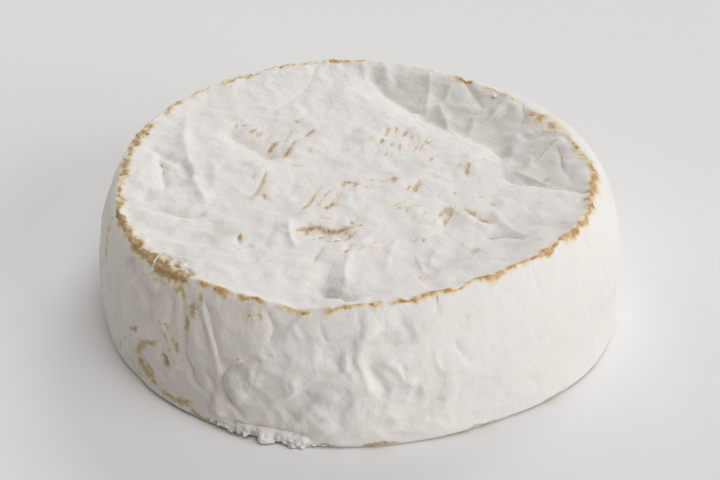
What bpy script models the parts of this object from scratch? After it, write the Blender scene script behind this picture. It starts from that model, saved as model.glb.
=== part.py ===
"""A small drum-shaped wheel of soft cheese with a white bloomy rind, 11 cm across and 3 cm tall.

The wheel stands on its flat base, with the origin at the middle of the base and +Z up. Bearings are in
degrees about +Z from +X, and the side that the wheel is mostly seen from is at bearing -90.

A blank is made first: a disc of quads for the top, with a skirt of rows hanging from its edge. Each of its
points is then moved to where it lies on the wheel, and the folds, dents and torn edges are pressed in.
"""

import math
from collections import namedtuple

import bmesh
import bpy
from mathutils import Vector, noise

MM = 0.001

# Driving dimensions, in millimetres
CENTRE_HEIGHT = 30.2
LIP_WIDTH = 6.5
BELLY_HEIGHT = 12.0
BASE_EDGE_RADIUS = 1.6

# How the outline changes around the wheel: it has sagged a little more on one side than on the other
Station = namedtuple("Station", "bearing rim_radius rim_height belly_radius base_radius")
STATIONS = (
    Station(-180, 49.3, 31.0, 54.3, 53.4),
    Station(-150, 51.0, 30.4, 54.5, 53.8),
    Station(-120, 51.0, 30.7, 55.1, 54.7),
    Station(-90, 50.6, 31.4, 55.0, 54.5),
    Station(-60, 49.9, 32.6, 55.0, 54.0),
    Station(-30, 49.9, 32.0, 56.6, 56.5),
    Station(0, 50.4, 31.1, 56.5, 56.4),
    Station(30, 49.8, 30.9, 55.9, 55.2),
    Station(60, 51.1, 31.0, 55.4, 54.2),
    Station(90, 52.0, 32.1, 55.0, 53.8),
    Station(120, 51.2, 31.8, 54.7, 53.4),
    Station(150, 50.6, 31.2, 54.8, 53.4),
)

# The wall falls away steeply from the rim, but on one side it first rolls over a broad round shoulder
WALL_POWER = 2.3
SHOULDER_POWER = 5.5
SHOULDER_BEARING = 37.0
SHOULDER_SPREAD = 29.0

# Where the rim has slumped or been torn away: bearing, half width in degrees and drop
RIM_DIPS = (
    (-101.0, 7.0, 1.5),
    (-138.0, 7.0, 1.3),
)

# A fold is a smooth line with a height. Points are x and y on the top, bearing and height on the wall.
# A ridge or groove is as wide on both sides. A valley has one width to the left of its direction and
# another to the right, and its banks are straight, as in crumpled paper.
Fold = namedtuple("Fold", "name points height left right")
TOP_FOLDS = (
    Fold("back valley", ((1, 45), (8, 35.5), (14.5, 27), (20.5, 19), (27, 13.5), (31, 5), (30.5, -3)),
         -1.7, 15.0, 8.0),
    Fold("mound valley", ((-28, 21), (-24.5, 14.5), (-20, 10), (-16, 4)), -0.9, 5.5, 6.5),
    Fold("outer ridge", ((36.8, 23), (34.8, 15.5), (32.7, 8.7), (31, 1.5)), 0.5, 1.4, 1.4),
    Fold("right groove", ((30.6, 1), (32.8, -1.4), (36, -3), (43, -5), (50.4, -9.4)), -0.7, 1.3, 1.3),
    Fold("back groove", ((25.6, 45), (26.6, 38), (28.3, 34), (29.2, 31)), -0.8, 1.4, 1.4),
    Fold("cross ridge", ((36.4, 37), (34.2, 33.5), (31.2, 29), (27.4, 27)), 0.6, 1.4, 1.4),
    Fold("outer crease", ((36.8, 37.8), (37.6, 33), (38.1, 28.4), (36.5, 23.4)), -0.7, 1.4, 1.4),
    Fold("curved ridge", ((18.6, 36), (19.6, 32), (20.6, 27), (22.8, 19.4)), 0.6, 1.4, 1.4),
    Fold("fan crease", ((35.5, 19.5), (38.5, 18.2), (42.5, 20)), -0.5, 1.4, 1.4),
    Fold("left crease", ((-44.5, 12.5), (-41, 7), (-40, 0.7), (-38.8, -5.8)), -0.8, 1.2, 1.2),
    Fold("left dimple", ((-37.4, 8), (-35.5, 3), (-34, -1)), -0.6, 1.5, 1.5),
    Fold("left lap", ((-45, -12.4), (-38.6, -13.8), (-33.3, -15.6), (-29.8, -14.4)), -0.6, 1.2, 1.2),
    Fold("long ridge", ((-38.4, 26), (-36.4, 12), (-32.9, -3.5), (-29.6, -14.5)), 0.45, 1.5, 1.5),
    Fold("front crease", ((-10, -43.2), (-6.4, -43.3), (-2.9, -44.8), (0.8, -48.8)), -0.7, 1.4, 1.4),
    Fold("front dent", ((-3.4, -33.6), (-4.8, -37.6), (-7, -42.5)), -0.7, 1.9, 1.9),
    Fold("front ridge", ((-0.2, -30), (-1, -34), (-1.5, -38), (-1.4, -44)), 0.5, 1.4, 1.4),
    Fold("pocket", ((22.4, -12.4), (24.9, -16.1), (28.8, -19.6)), -0.6, 1.5, 1.3),
    Fold("pocket lip", ((25.2, -25), (29.1, -24.1), (32.2, -24.1), (35, -25.2)), -0.5, 1.3, 1.3),
    Fold("short step", ((19.6, -12.5), (18.6, -18), (18, -24)), -0.5, 1.5, 1.5),
    Fold("middle ridge", ((-13.2, -17), (-12.8, -24), (-11, -29)), 0.4, 1.3, 1.3),
)
WALL_FOLDS = (
    Fold("tall ridge", ((-125.2, 29.8), (-122.9, 25.9), (-120.8, 22.8), (-118.1, 14.6)), 0.7, 1.3, 1.5),
    Fold("ridge foot", ((-114.4, 18), (-117, 13.5), (-117.2, 9.4), (-113, 3.4)), -0.8, 1.4, 1.3),
    Fold("tall groove", ((-129.2, 27.2), (-127.3, 19.5), (-127.1, 15.4), (-125.7, 8.6)), -0.8, 1.3, 1.3),
    Fold("short groove", ((-122.8, 13.8), (-119.6, 10.2), (-121.7, 2.6)), -0.6, 1.2, 1.2),
    Fold("flap edge", ((-134.4, 16), (-135.4, 11.7), (-134.8, 6.8)), 0.6, 1.3, 1.3),
    Fold("left groove", ((-139, 25), (-138.4, 20), (-138.8, 15.5)), -0.8, 2.4, 2.2),
    Fold("plate edge", ((-109, 29), (-107, 25), (-108.2, 20.5), (-116, 14.4)), -0.6, 1.4, 1.4),
    Fold("bowl", ((-85.6, 26.8), (-81.5, 24.6), (-77.2, 26.4)), -0.9, 2.4, 2.2),
    Fold("low fold", ((-81.6, 4.6), (-76.8, 7.4), (-70.6, 10.2)), -0.7, 1.7, 1.4),
    Fold("dent", ((-101.6, 13.6), (-98.6, 10)), -0.8, 3.2, 3.2),
    Fold("peak", ((-85.1, 21.6), (-81, 18.4), (-77.6, 14)), 0.7, 1.5, 1.5),
    Fold("back fold", ((118, 27), (121, 17), (119, 7)), -0.7, 1.8, 1.8),
    Fold("back ridge", ((64, 28), (61, 18), (63, 8)), 0.6, 2.0, 2.0),
    Fold("far groove", ((150, 26), (154, 15), (152, 6)), -0.6, 2.0, 2.0),
)
FOLD_STEPS = 6
FOLD_FADE = 0.18
BANK_POWER = 1.5
VALLEY_WIDTH = 4.0

# Soft crumpling of the wall: strongest around one bearing, faint on the side that faces away from it
CRUMPLE_BEARING = -100.0
CRUMPLE_SPREAD = 42.0
CRUMPLE_HEIGHT = 0.65
CRUMPLE_FLOOR = 0.3
CRUMPLE_SIZE = 9.0
SWELL_HEIGHT = 0.3
SWELL_SIZE = 14.0

# Flakes of rind that curl out over the foot of the wall
FLAKE_FIRST = -119.0
FLAKE_LAST = -92.0
FLAKE_EDGE = 2.0
FLAKE_HEIGHT = 3.2
FLAKE_REACH = 1.3
FLAKE_SIZE = 2.6

# Ragged worn edge along the rim
RAG_HEIGHT = 0.28
RAG_SIZE = 2.2

# The blank: quads from the middle of the top to its edge, and rows from the rim to the base
TOP_RINGS = 23
WALL_ROWS = 13
HALF_ROW = 0.5 / WALL_ROWS
ROW_CROWDING = 0.45

# Points that end up this close to the base lie on it, and edges sharper than this aren't shaded smooth
BASE_SNAP = 0.01
SHARP_ANGLE = 50.0

RIND_COLOUR = (0.82, 0.80, 0.75, 1.0)
RIND_ROUGHNESS = 0.8


def clear_scene():
    for thing in list(bpy.data.objects):
        bpy.data.objects.remove(thing, do_unlink=True)


def smooth(t):
    t = min(max(t, 0.0), 1.0)
    return t * t * (3.0 - 2.0 * t)


def turned(bearing, other):
    """The signed angle from one bearing to another, in degrees."""
    return (bearing - other + 180.0) % 360.0 - 180.0


def bell(distance, width):
    return math.exp(-((distance / width) ** 2))


def catmull(p0, p1, p2, p3, t):
    """The point at t between p1 and p2 of a smooth curve through all four. It works on numbers and vectors."""
    return 0.5 * (2 * p1 + (p2 - p0) * t + (2 * p0 - 5 * p1 + 4 * p2 - p3) * t * t
                  + (3 * p1 - p0 - 3 * p2 + p3) * t * t * t)


def outline(bearing):
    """The wheel's section at a bearing, as a station read from a closed smooth curve through the stations."""
    spacing = 360.0 / len(STATIONS)
    place = ((bearing - STATIONS[0].bearing) % 360.0) / spacing
    first = int(place)
    near = [STATIONS[(first + k) % len(STATIONS)] for k in (-1, 0, 1, 2)]
    values = [catmull(*column, place - first) for column in list(zip(*near))[1:]]
    section = Station(bearing, *values)
    drop = sum(depth * bell(turned(bearing, dip), half) for dip, half, depth in RIM_DIPS)
    return section._replace(rim_height=section.rim_height - drop)


def smooth_path(points):
    """Points close together on a smooth curve through the given ones."""
    knots = [Vector(p) for p in points]
    knots = [2 * knots[0] - knots[1], *knots, 2 * knots[-1] - knots[-2]]
    path = []
    for k in range(len(knots) - 3):
        path += [catmull(*knots[k:k + 4], step / FOLD_STEPS) for step in range(FOLD_STEPS)]
    return [*path, knots[-2]]


def nearest(path, point):
    """Signed distance from a path, positive to the left of its direction, and how far along it, from 0 to 1."""
    best, signed, along = math.inf, 0.0, 0.0
    for k in range(len(path) - 1):
        start, run = path[k], path[k + 1] - path[k]
        share = min(max((point - start).dot(run) / run.length_squared, 0.0), 1.0)
        away = point - start - share * run
        if away.length < best:
            best = away.length
            signed = math.copysign(best, run.x * away.y - run.y * away.x)
            along = (k + share) / (len(path) - 1)
    return signed, along


def fold_height(fold, path, point):
    signed, along = nearest(path, point)
    width = fold.left if signed > 0 else fold.right
    fade = smooth(along / FOLD_FADE) * smooth((1.0 - along) / FOLD_FADE)
    if max(fold.left, fold.right) > VALLEY_WIDTH:
        return fold.height * fade * max(1.0 - abs(signed) / width, 0.0) ** BANK_POWER
    return fold.height * fade * bell(signed, width)


def unrolled(bearing, height):
    """A place on the wall as if it were laid out flat: arc length at the belly, and height."""
    belly = sum(s.belly_radius for s in STATIONS) / len(STATIONS)
    return Vector((math.radians(bearing) * belly, height))


TOP_PATHS = [smooth_path(fold.points) for fold in TOP_FOLDS]
WALL_PATHS = [smooth_path([unrolled(*p) for p in fold.points]) for fold in WALL_FOLDS]


def ragged(bearing, radius, offset):
    """A value that jumps up and down along the rim, the same at each run."""
    turn = math.radians(bearing)
    return noise.noise(Vector((math.cos(turn) * radius, math.sin(turn) * radius, offset)) / RAG_SIZE)


def top_point(share, bearing):
    """A point of the top, at a share of the way from the middle to the rim."""
    section = outline(bearing)
    turn = math.radians(bearing)
    radius = share * section.rim_radius
    flat = Vector((radius * math.cos(turn), radius * math.sin(turn)))
    from_rim = section.rim_radius - radius
    lip = math.exp(-from_rim / LIP_WIDTH)
    height = CENTRE_HEIGHT + (section.rim_height - CENTRE_HEIGHT) * lip
    inside = smooth(from_rim / RAG_SIZE)
    height += inside * sum(fold_height(f, p, flat) for f, p in zip(TOP_FOLDS, TOP_PATHS))
    height += inside * SWELL_HEIGHT * noise.noise(Vector((*flat, 0.0)) / SWELL_SIZE)
    height += (1.0 - inside) * RAG_HEIGHT * ragged(bearing, section.rim_radius, 0.0)
    return Vector((*flat, height))


def wall_radius(section, height):
    """The radius of the smooth wall at a height: a belly that draws in towards the rim and the base."""
    if height < BELLY_HEIGHT:
        inward = ((BELLY_HEIGHT - height) / BELLY_HEIGHT) ** WALL_POWER
        radius = section.belly_radius - (section.belly_radius - section.base_radius) * inward
        corner = max(BASE_EDGE_RADIUS - height, 0.0)
        return radius - BASE_EDGE_RADIUS + math.sqrt(BASE_EDGE_RADIUS ** 2 - corner ** 2)
    roundness = bell(turned(section.bearing, SHOULDER_BEARING), SHOULDER_SPREAD)
    power = WALL_POWER + (SHOULDER_POWER - WALL_POWER) * roundness
    rise = min((height - BELLY_HEIGHT) / (section.rim_height - BELLY_HEIGHT), 1.0)
    outward = (1.0 - rise ** power) ** (1.0 / (1.0 + roundness))
    return section.rim_radius + (section.belly_radius - section.rim_radius) * outward


def crumple(bearing, height):
    turn = math.radians(bearing)
    place = Vector((math.cos(turn), math.sin(turn), 0.0)) * STATIONS[0].belly_radius + Vector((0, 0, height))
    strength = CRUMPLE_FLOOR + (1.0 - CRUMPLE_FLOOR) * bell(turned(bearing, CRUMPLE_BEARING), CRUMPLE_SPREAD)
    return CRUMPLE_HEIGHT * strength * noise.noise(place / CRUMPLE_SIZE)


def flake(bearing, height):
    """How far the torn flakes stand out from the foot of the wall."""
    zone = smooth((bearing - FLAKE_FIRST) / FLAKE_EDGE) * smooth((FLAKE_LAST - bearing) / FLAKE_EDGE)
    low = smooth(1.0 - height / FLAKE_HEIGHT) * smooth(height / BASE_EDGE_RADIUS)
    ripple = noise.noise(unrolled(bearing, height).to_3d() / FLAKE_SIZE)
    return FLAKE_REACH * zone * low * (1.0 + ripple)


def wall_point(row_share, bearing):
    """A point of the wall, at a share of the way from the rim down to the base."""
    section = outline(bearing)
    turn = math.radians(bearing)
    down = row_share - ROW_CROWDING * math.sin(2 * math.pi * row_share) / (2 * math.pi)
    height = section.rim_height * (1.0 - down)
    ends = smooth((section.rim_height - height) / RAG_SIZE) * smooth(height / BASE_EDGE_RADIUS)
    spot = unrolled(bearing, height)
    relief = sum(fold_height(f, p, spot) for f, p in zip(WALL_FOLDS, WALL_PATHS)) + crumple(bearing, height)
    radius = wall_radius(section, height) + ends * relief + flake(bearing, height)
    near_rim = 1.0 - smooth((section.rim_height - height) / RAG_SIZE)
    radius += near_rim * RAG_HEIGHT * ragged(bearing, section.rim_radius, RAG_SIZE)
    return Vector((radius * math.cos(turn), radius * math.sin(turn), height))


def disc_place(x, y):
    """A place in a square mapped to a disc, so that its square rings become round ones."""
    share = max(abs(x), abs(y))
    if share == 0.0:
        return 0.0, 0.0
    if abs(x) >= abs(y):
        quarter, lean = (0.0 if x > 0 else 180.0), y / x
    else:
        quarter, lean = (90.0 if y > 0 else 270.0), -x / y
    return share, turned(quarter + 45.0 * lean, 0.0)


def blank():
    """A square grid with rows of quads hanging from its edge, closed underneath by one flat face."""
    bm = bmesh.new()
    bmesh.ops.create_grid(bm, x_segments=2 * TOP_RINGS, y_segments=2 * TOP_RINGS, size=1.0)
    edge = [e for e in bm.edges if e.is_boundary]
    for _ in range(WALL_ROWS):
        made = bmesh.ops.extrude_edge_only(bm, edges=edge)["geom"]
        for vert in (g for g in made if isinstance(g, bmesh.types.BMVert)):
            vert.co.z -= 1.0 / WALL_ROWS
        edge = [g for g in made if isinstance(g, bmesh.types.BMEdge) and g.is_boundary]
    bmesh.ops.edgeloop_fill(bm, edges=edge)
    return bm


def cheese_wheel():
    bm = blank()
    for vert in bm.verts:
        share, bearing = disc_place(vert.co.x, vert.co.y)
        row_share = -vert.co.z
        vert.co = (wall_point(row_share, bearing) if row_share > HALF_ROW
                   else top_point(share, bearing)) * MM
    for vert in bm.verts:
        if vert.co.z < BASE_SNAP * MM:
            vert.co.z = 0.0
    top_and_wall = [f for f in bm.faces if len(f.verts) == 4]
    bmesh.ops.triangulate(bm, faces=top_and_wall)
    bmesh.ops.recalc_face_normals(bm, faces=bm.faces)
    mesh = bpy.data.meshes.new("cheese_wheel")
    bm.to_mesh(mesh)
    bm.free()
    mesh.shade_smooth()
    mesh.set_sharp_from_angle(angle=math.radians(SHARP_ANGLE))
    return mesh


def rind_material():
    material = bpy.data.materials.new("white_rind")
    material.use_nodes = True
    surface = material.node_tree.nodes["Principled BSDF"]
    surface.inputs["Base Color"].default_value = RIND_COLOUR
    surface.inputs["Roughness"].default_value = RIND_ROUGHNESS
    surface.inputs["Metallic"].default_value = 0.0
    return material


def main():
    clear_scene()
    mesh = cheese_wheel()
    mesh.materials.append(rind_material())
    wheel = bpy.data.objects.new("cheese_wheel", mesh)
    bpy.context.scene.collection.objects.link(wheel)


main()
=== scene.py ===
"""The looks of a small soft cheese: its wrinkled white rind, the worn crust round its rim, and the light.

Lengths are in millimetres until a mesh is made. Bearings are in degrees about +Z from +X. The camera looks
along +Y, so the side of the wall that it sees best is at bearing -90.
"""
import math
from collections import namedtuple

import bpy
import numpy as np
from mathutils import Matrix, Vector, noise


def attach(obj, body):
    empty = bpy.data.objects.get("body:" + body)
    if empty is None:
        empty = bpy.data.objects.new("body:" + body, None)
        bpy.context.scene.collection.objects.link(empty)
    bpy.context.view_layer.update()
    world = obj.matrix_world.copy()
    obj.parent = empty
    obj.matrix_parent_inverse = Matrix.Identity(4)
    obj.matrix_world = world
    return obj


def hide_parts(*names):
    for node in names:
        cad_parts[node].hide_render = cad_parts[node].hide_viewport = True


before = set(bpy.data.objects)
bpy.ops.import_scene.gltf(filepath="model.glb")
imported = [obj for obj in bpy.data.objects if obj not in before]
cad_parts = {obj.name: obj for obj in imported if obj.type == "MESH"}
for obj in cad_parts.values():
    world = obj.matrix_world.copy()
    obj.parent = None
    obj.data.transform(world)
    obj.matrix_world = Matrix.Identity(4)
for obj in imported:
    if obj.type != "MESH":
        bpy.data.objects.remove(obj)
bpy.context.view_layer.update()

MM = 0.001
NODE = "cheese_wheel"

# The form of the wheel, as in the solid that the rind replaces
Station = namedtuple("Station", "bearing rim_radius rim_height belly_radius base_radius")
STATIONS = (
    Station(-180, 49.3, 31.0, 54.3, 53.4),
    Station(-150, 51.0, 30.4, 54.5, 53.8),
    Station(-120, 51.0, 30.7, 55.1, 54.7),
    Station(-90, 50.6, 31.4, 55.0, 54.5),
    Station(-60, 49.9, 32.6, 55.0, 54.0),
    Station(-30, 49.9, 32.0, 56.6, 56.5),
    Station(0, 50.4, 31.1, 56.5, 56.4),
    Station(30, 49.8, 30.9, 55.9, 55.2),
    Station(60, 51.1, 31.0, 55.4, 54.2),
    Station(90, 52.0, 32.1, 55.0, 53.8),
    Station(120, 51.2, 31.8, 54.7, 53.4),
    Station(150, 50.6, 31.2, 54.8, 53.4),
)
CENTRE_HEIGHT = 30.2
LIP_WIDTH = 6.5
BELLY_HEIGHT = 12.0
BASE_EDGE_RADIUS = 1.6
WALL_POWER = 2.3
SHOULDER_POWER = 5.5
SHOULDER_BEARING = 37.0
SHOULDER_SPREAD = 29.0
RIM_DIPS = ((-101.0, 7.0, 1.5), (-138.0, 7.0, 1.3))


def paths(kind, *rows):
    """Records of one kind, each from a row of its settings and then the coordinates of its points."""
    settings = len(kind._fields) - 1
    return [kind(*row[:settings], tuple(zip(row[settings::2], row[settings + 1::2]))) for row in rows]


# How finely the rind is divided: rings of quads on the top, rows down the wall, and fewer rings underneath
TOP_RINGS = 96
WALL_ROWS = 74
ROW_CROWDING = 0.3
BASE_SHARES = (0.985, 0.955)
BASE_RINGS = 24
COLUMNS_PER_BASE_COLUMN = TOP_RINGS // BASE_RINGS

# A fold is a smooth line with a height. Its points are x and y on the top, bearing and height on the wall.
# Its cross-section is round, sharp as a crease, or a valley with straight banks; left and right are its
# widths on either side of its direction.
Fold = namedtuple("Fold", "shape height left right points")
TOP_FOLDS = paths(Fold,
    # Broad valleys behind the middle and beside the low mound
    ("bank", -2.3, 16, 7.5, 0, 50, 7.5, 40, 14, 31.5, 20.5, 24.5, 27.5, 19, 32, 10, 32.5, 1.5),
    ("bank", -1.5, 5.5, 6.5, -28.5, 23, -25, 17, -20.5, 12.5, -15.5, 6.5),
    # Its crest, and the folds in the sunken part beyond it
    ("sharp", 0.5, 0.8, 2.2, 12.4, 32, 15.2, 25.8, 18.5, 22.2, 23, 18.2, 28.4, 15.2, 30.4, 10, 30.3, 3),
    ("round", 0.7, 1.5, 1.9, 36.8, 23, 34.8, 15.5, 32.7, 8.7, 31, 1.5),
    ("sharp", -0.75, 0.6, 0.6, 30.6, 1.2, 32.8, -1.4, 35.4, -2.7, 39.9, -4, 43.2, -5, 47.3, -7.7, 50.4,
     -9.4),
    ("sharp", 0.6, 1.3, 0.7, 33.2, 2.8, 35.4, 0.4, 38.4, -2.2, 41.4, -3.6),
    ("sharp", -0.9, 1.2, 1, 25.6, 45, 26.1, 41.9, 26.8, 38.1, 28.3, 34.3, 29.2, 31),
    ("sharp", 0.7, 1.4, 1, 27.4, 27, 31.2, 29, 34.3, 34.3, 36.4, 37.4),
    ("sharp", -0.6, 0.9, 1.6, 29, 25.8, 32.4, 28, 35.4, 33),
    ("sharp", -0.8, 0.9, 1.5, 36.8, 37.8, 37.6, 33, 38.1, 28.4, 36.5, 23.4),
    ("sharp", 0.9, 1, 2.6, 18.6, 36.4, 19.6, 32, 20.6, 27, 21.4, 22.8, 22.8, 19.4),
    ("round", -0.6, 1.3, 1.3, 35.5, 19.5, 38.5, 18.2, 42.5, 20),
    ("sharp", 0.45, 0.8, 1, 17.4, 48, 17, 44, 16.5, 36, 15.1, 27.4),
    ("sharp", 0.4, 0.8, 0.8, 22.4, 43.5, 20.6, 34.6),
    ("sharp", 0.5, 1, 1, 26.9, 29.6, 26.2, 25, 25.2, 19.4),
    ("sharp", 0.35, 0.8, 0.8, 20.6, 33.2, 24.4, 32.6, 27.4, 30.2),
    ("sharp", -0.4, 1, 1, 28.5, 26.5, 29.5, 28.5, 31, 29.5),
    ("round", -0.4, 1.1, 1.1, 3.6, 53, 4, 49, 5, 44), ("round", 0.4, 0.9, 0.9, 2, 53, 2.2, 49, 2.6, 45),
    ("round", 0.4, 1, 1, 6.4, 52.5, 7, 48, 8.4, 43),
    ("sharp", 0.4, 0.9, 0.9, 33.9, 3.2, 38.3, 8.2, 42.9, 14, 46.2, 16.2),
    ("sharp", -0.4, 0.5, 0.5, 43.7, 14, 44.4, 7.4, 45, 0.4, 45.4, -4.1),
    ("sharp", -0.35, 0.8, 0.8, 38, 20.5, 41, 22, 44, 22.5), ("round", 0.35, 0.7, 0.7, 37.8, 11, 37.5, 4),
    ("sharp", -0.35, 0.7, 0.7, 38.8, -2.3, 40.7, -0.3),
    # The left
    ("sharp", -1, 0.9, 1.2, -42.2, 9.8, -41, 6.4, -40, 0.7, -38.8, -5.8),
    ("round", -0.8, 1.1, 1.3, -45.2, 13.2, -42.2, 10.8, -39.4, 7.8, -37.6, 6.2),
    ("round", -0.9, 1.2, 1.5, -37.4, 8, -35.5, 3, -34, -1),
    ("sharp", -0.7, 1, 1.2, -45, -12.4, -38.6, -13.8, -33.3, -15.6, -29.8, -14.4),
    ("sharp", 0.75, 1.3, 1.5, -38.4, 26, -36.4, 12, -32.9, -3.5, -29.6, -14.5),
    ("sharp", 0.35, 0.9, 0.9, -37.3, 30, -37.2, 23, -36.4, 15),
    ("sharp", -0.3, 0.8, 0.8, -7.5, 53, -9.5, 46, -11, 40, -15, 34, -19.5, 29),
    ("round", -0.4, 1.8, 1.3, -47, -18.5, -41, -20.5, -35, -21.5),
    ("round", -0.45, 2, 1.3, -41, -22.5, -34, -24.8, -25, -26.3),
    ("round", -0.5, 1.6, 1.6, -26, -23.5, -28.5, -20.5, -28, -17),
    ("sharp", -0.4, 0.9, 0.9, -24.3, -29.3, -22, -27.5, -20, -26.8),
    ("sharp", -0.7, 0.8, 0.8, -23, -23.8, -22.8, -25.2, -22.6, -27),
    ("round", -0.5, 1.2, 1.2, -43.5, -4.5, -43.2, -8, -42.8, -10.5),
    # The middle and the front
    ("sharp", -1, 1.6, 0.9, -8, -44, -4, -45.2, -1, -46.8, 0.5, -49.5),
    ("sharp", -0.8, 0.9, 1.3, -10, -43.2, -6.4, -43.3, -2.9, -44.8, -0.8, -46.8, 0.8, -48.8),
    ("round", -0.8, 1.7, 1.9, -3.4, -33.6, -4.8, -37.6, -6, -41.2, -7.4, -43),
    ("sharp", 0.6, 1.2, 1.4, -0.2, -30, -1, -33.6, -1.5, -38, -1.4, -44),
    ("sharp", -0.6, 1.7, 0.6, 22.4, -12.4, 24.9, -16.1, 26.8, -17.7, 28.8, -19.6),
    ("round", 0.45, 1, 1.5, 21.4, -14.4, 23.8, -17.6, 26.2, -19.4, 28.6, -21.2),
    ("sharp", 0.4, 0.8, 0.8, 27.8, -12, 30.5, -20, 34.6, -24.6),
    ("sharp", -0.7, 0.6, 1.2, 25.2, -25, 29.1, -24.1, 32.2, -24.1, 35, -25.2),
    ("round", -0.5, 1.5, 1.5, 19.6, -12.5, 18.6, -18, 18, -24),
    ("sharp", 0.5, 0.9, 0.9, -13.2, -17, -12.8, -24, -11, -29),
    ("sharp", -0.8, 0.6, 0.7, 22.6, -29.8, 23.6, -30, 24.6, -30.2),
    ("round", 0.4, 1, 1, 21.4, -28.2, 24.4, -25.6),
    ("sharp", 0.4, 0.8, 0.8, 12.2, -31, 13, -35, 13.6, -39.4),
    ("sharp", 0.4, 0.8, 0.8, 16.6, -29.8, 15.4, -32.8, 14.8, -36.4),
    ("sharp", -0.4, 0.7, 0.7, -0.6, -27, -2, -31.4), ("sharp", -0.4, 0.7, 0.7, -5.8, -28.6, -8.6, -34.6),
    ("sharp", 0.35, 1.2, 1.2, 9, -24, 7, -31, 6, -40),
    ("round", 0.45, 1.6, 1.6, 29.6, -28, 22, -35, 14, -40.5),
    ("sharp", 0.3, 0.9, 0.9, -31, 9, -29.5, 2, -29.5, -6),
    ("sharp", -0.3, 0.8, 0.8, -13, 3.5, -12.5, -1, -14, -9))
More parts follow.
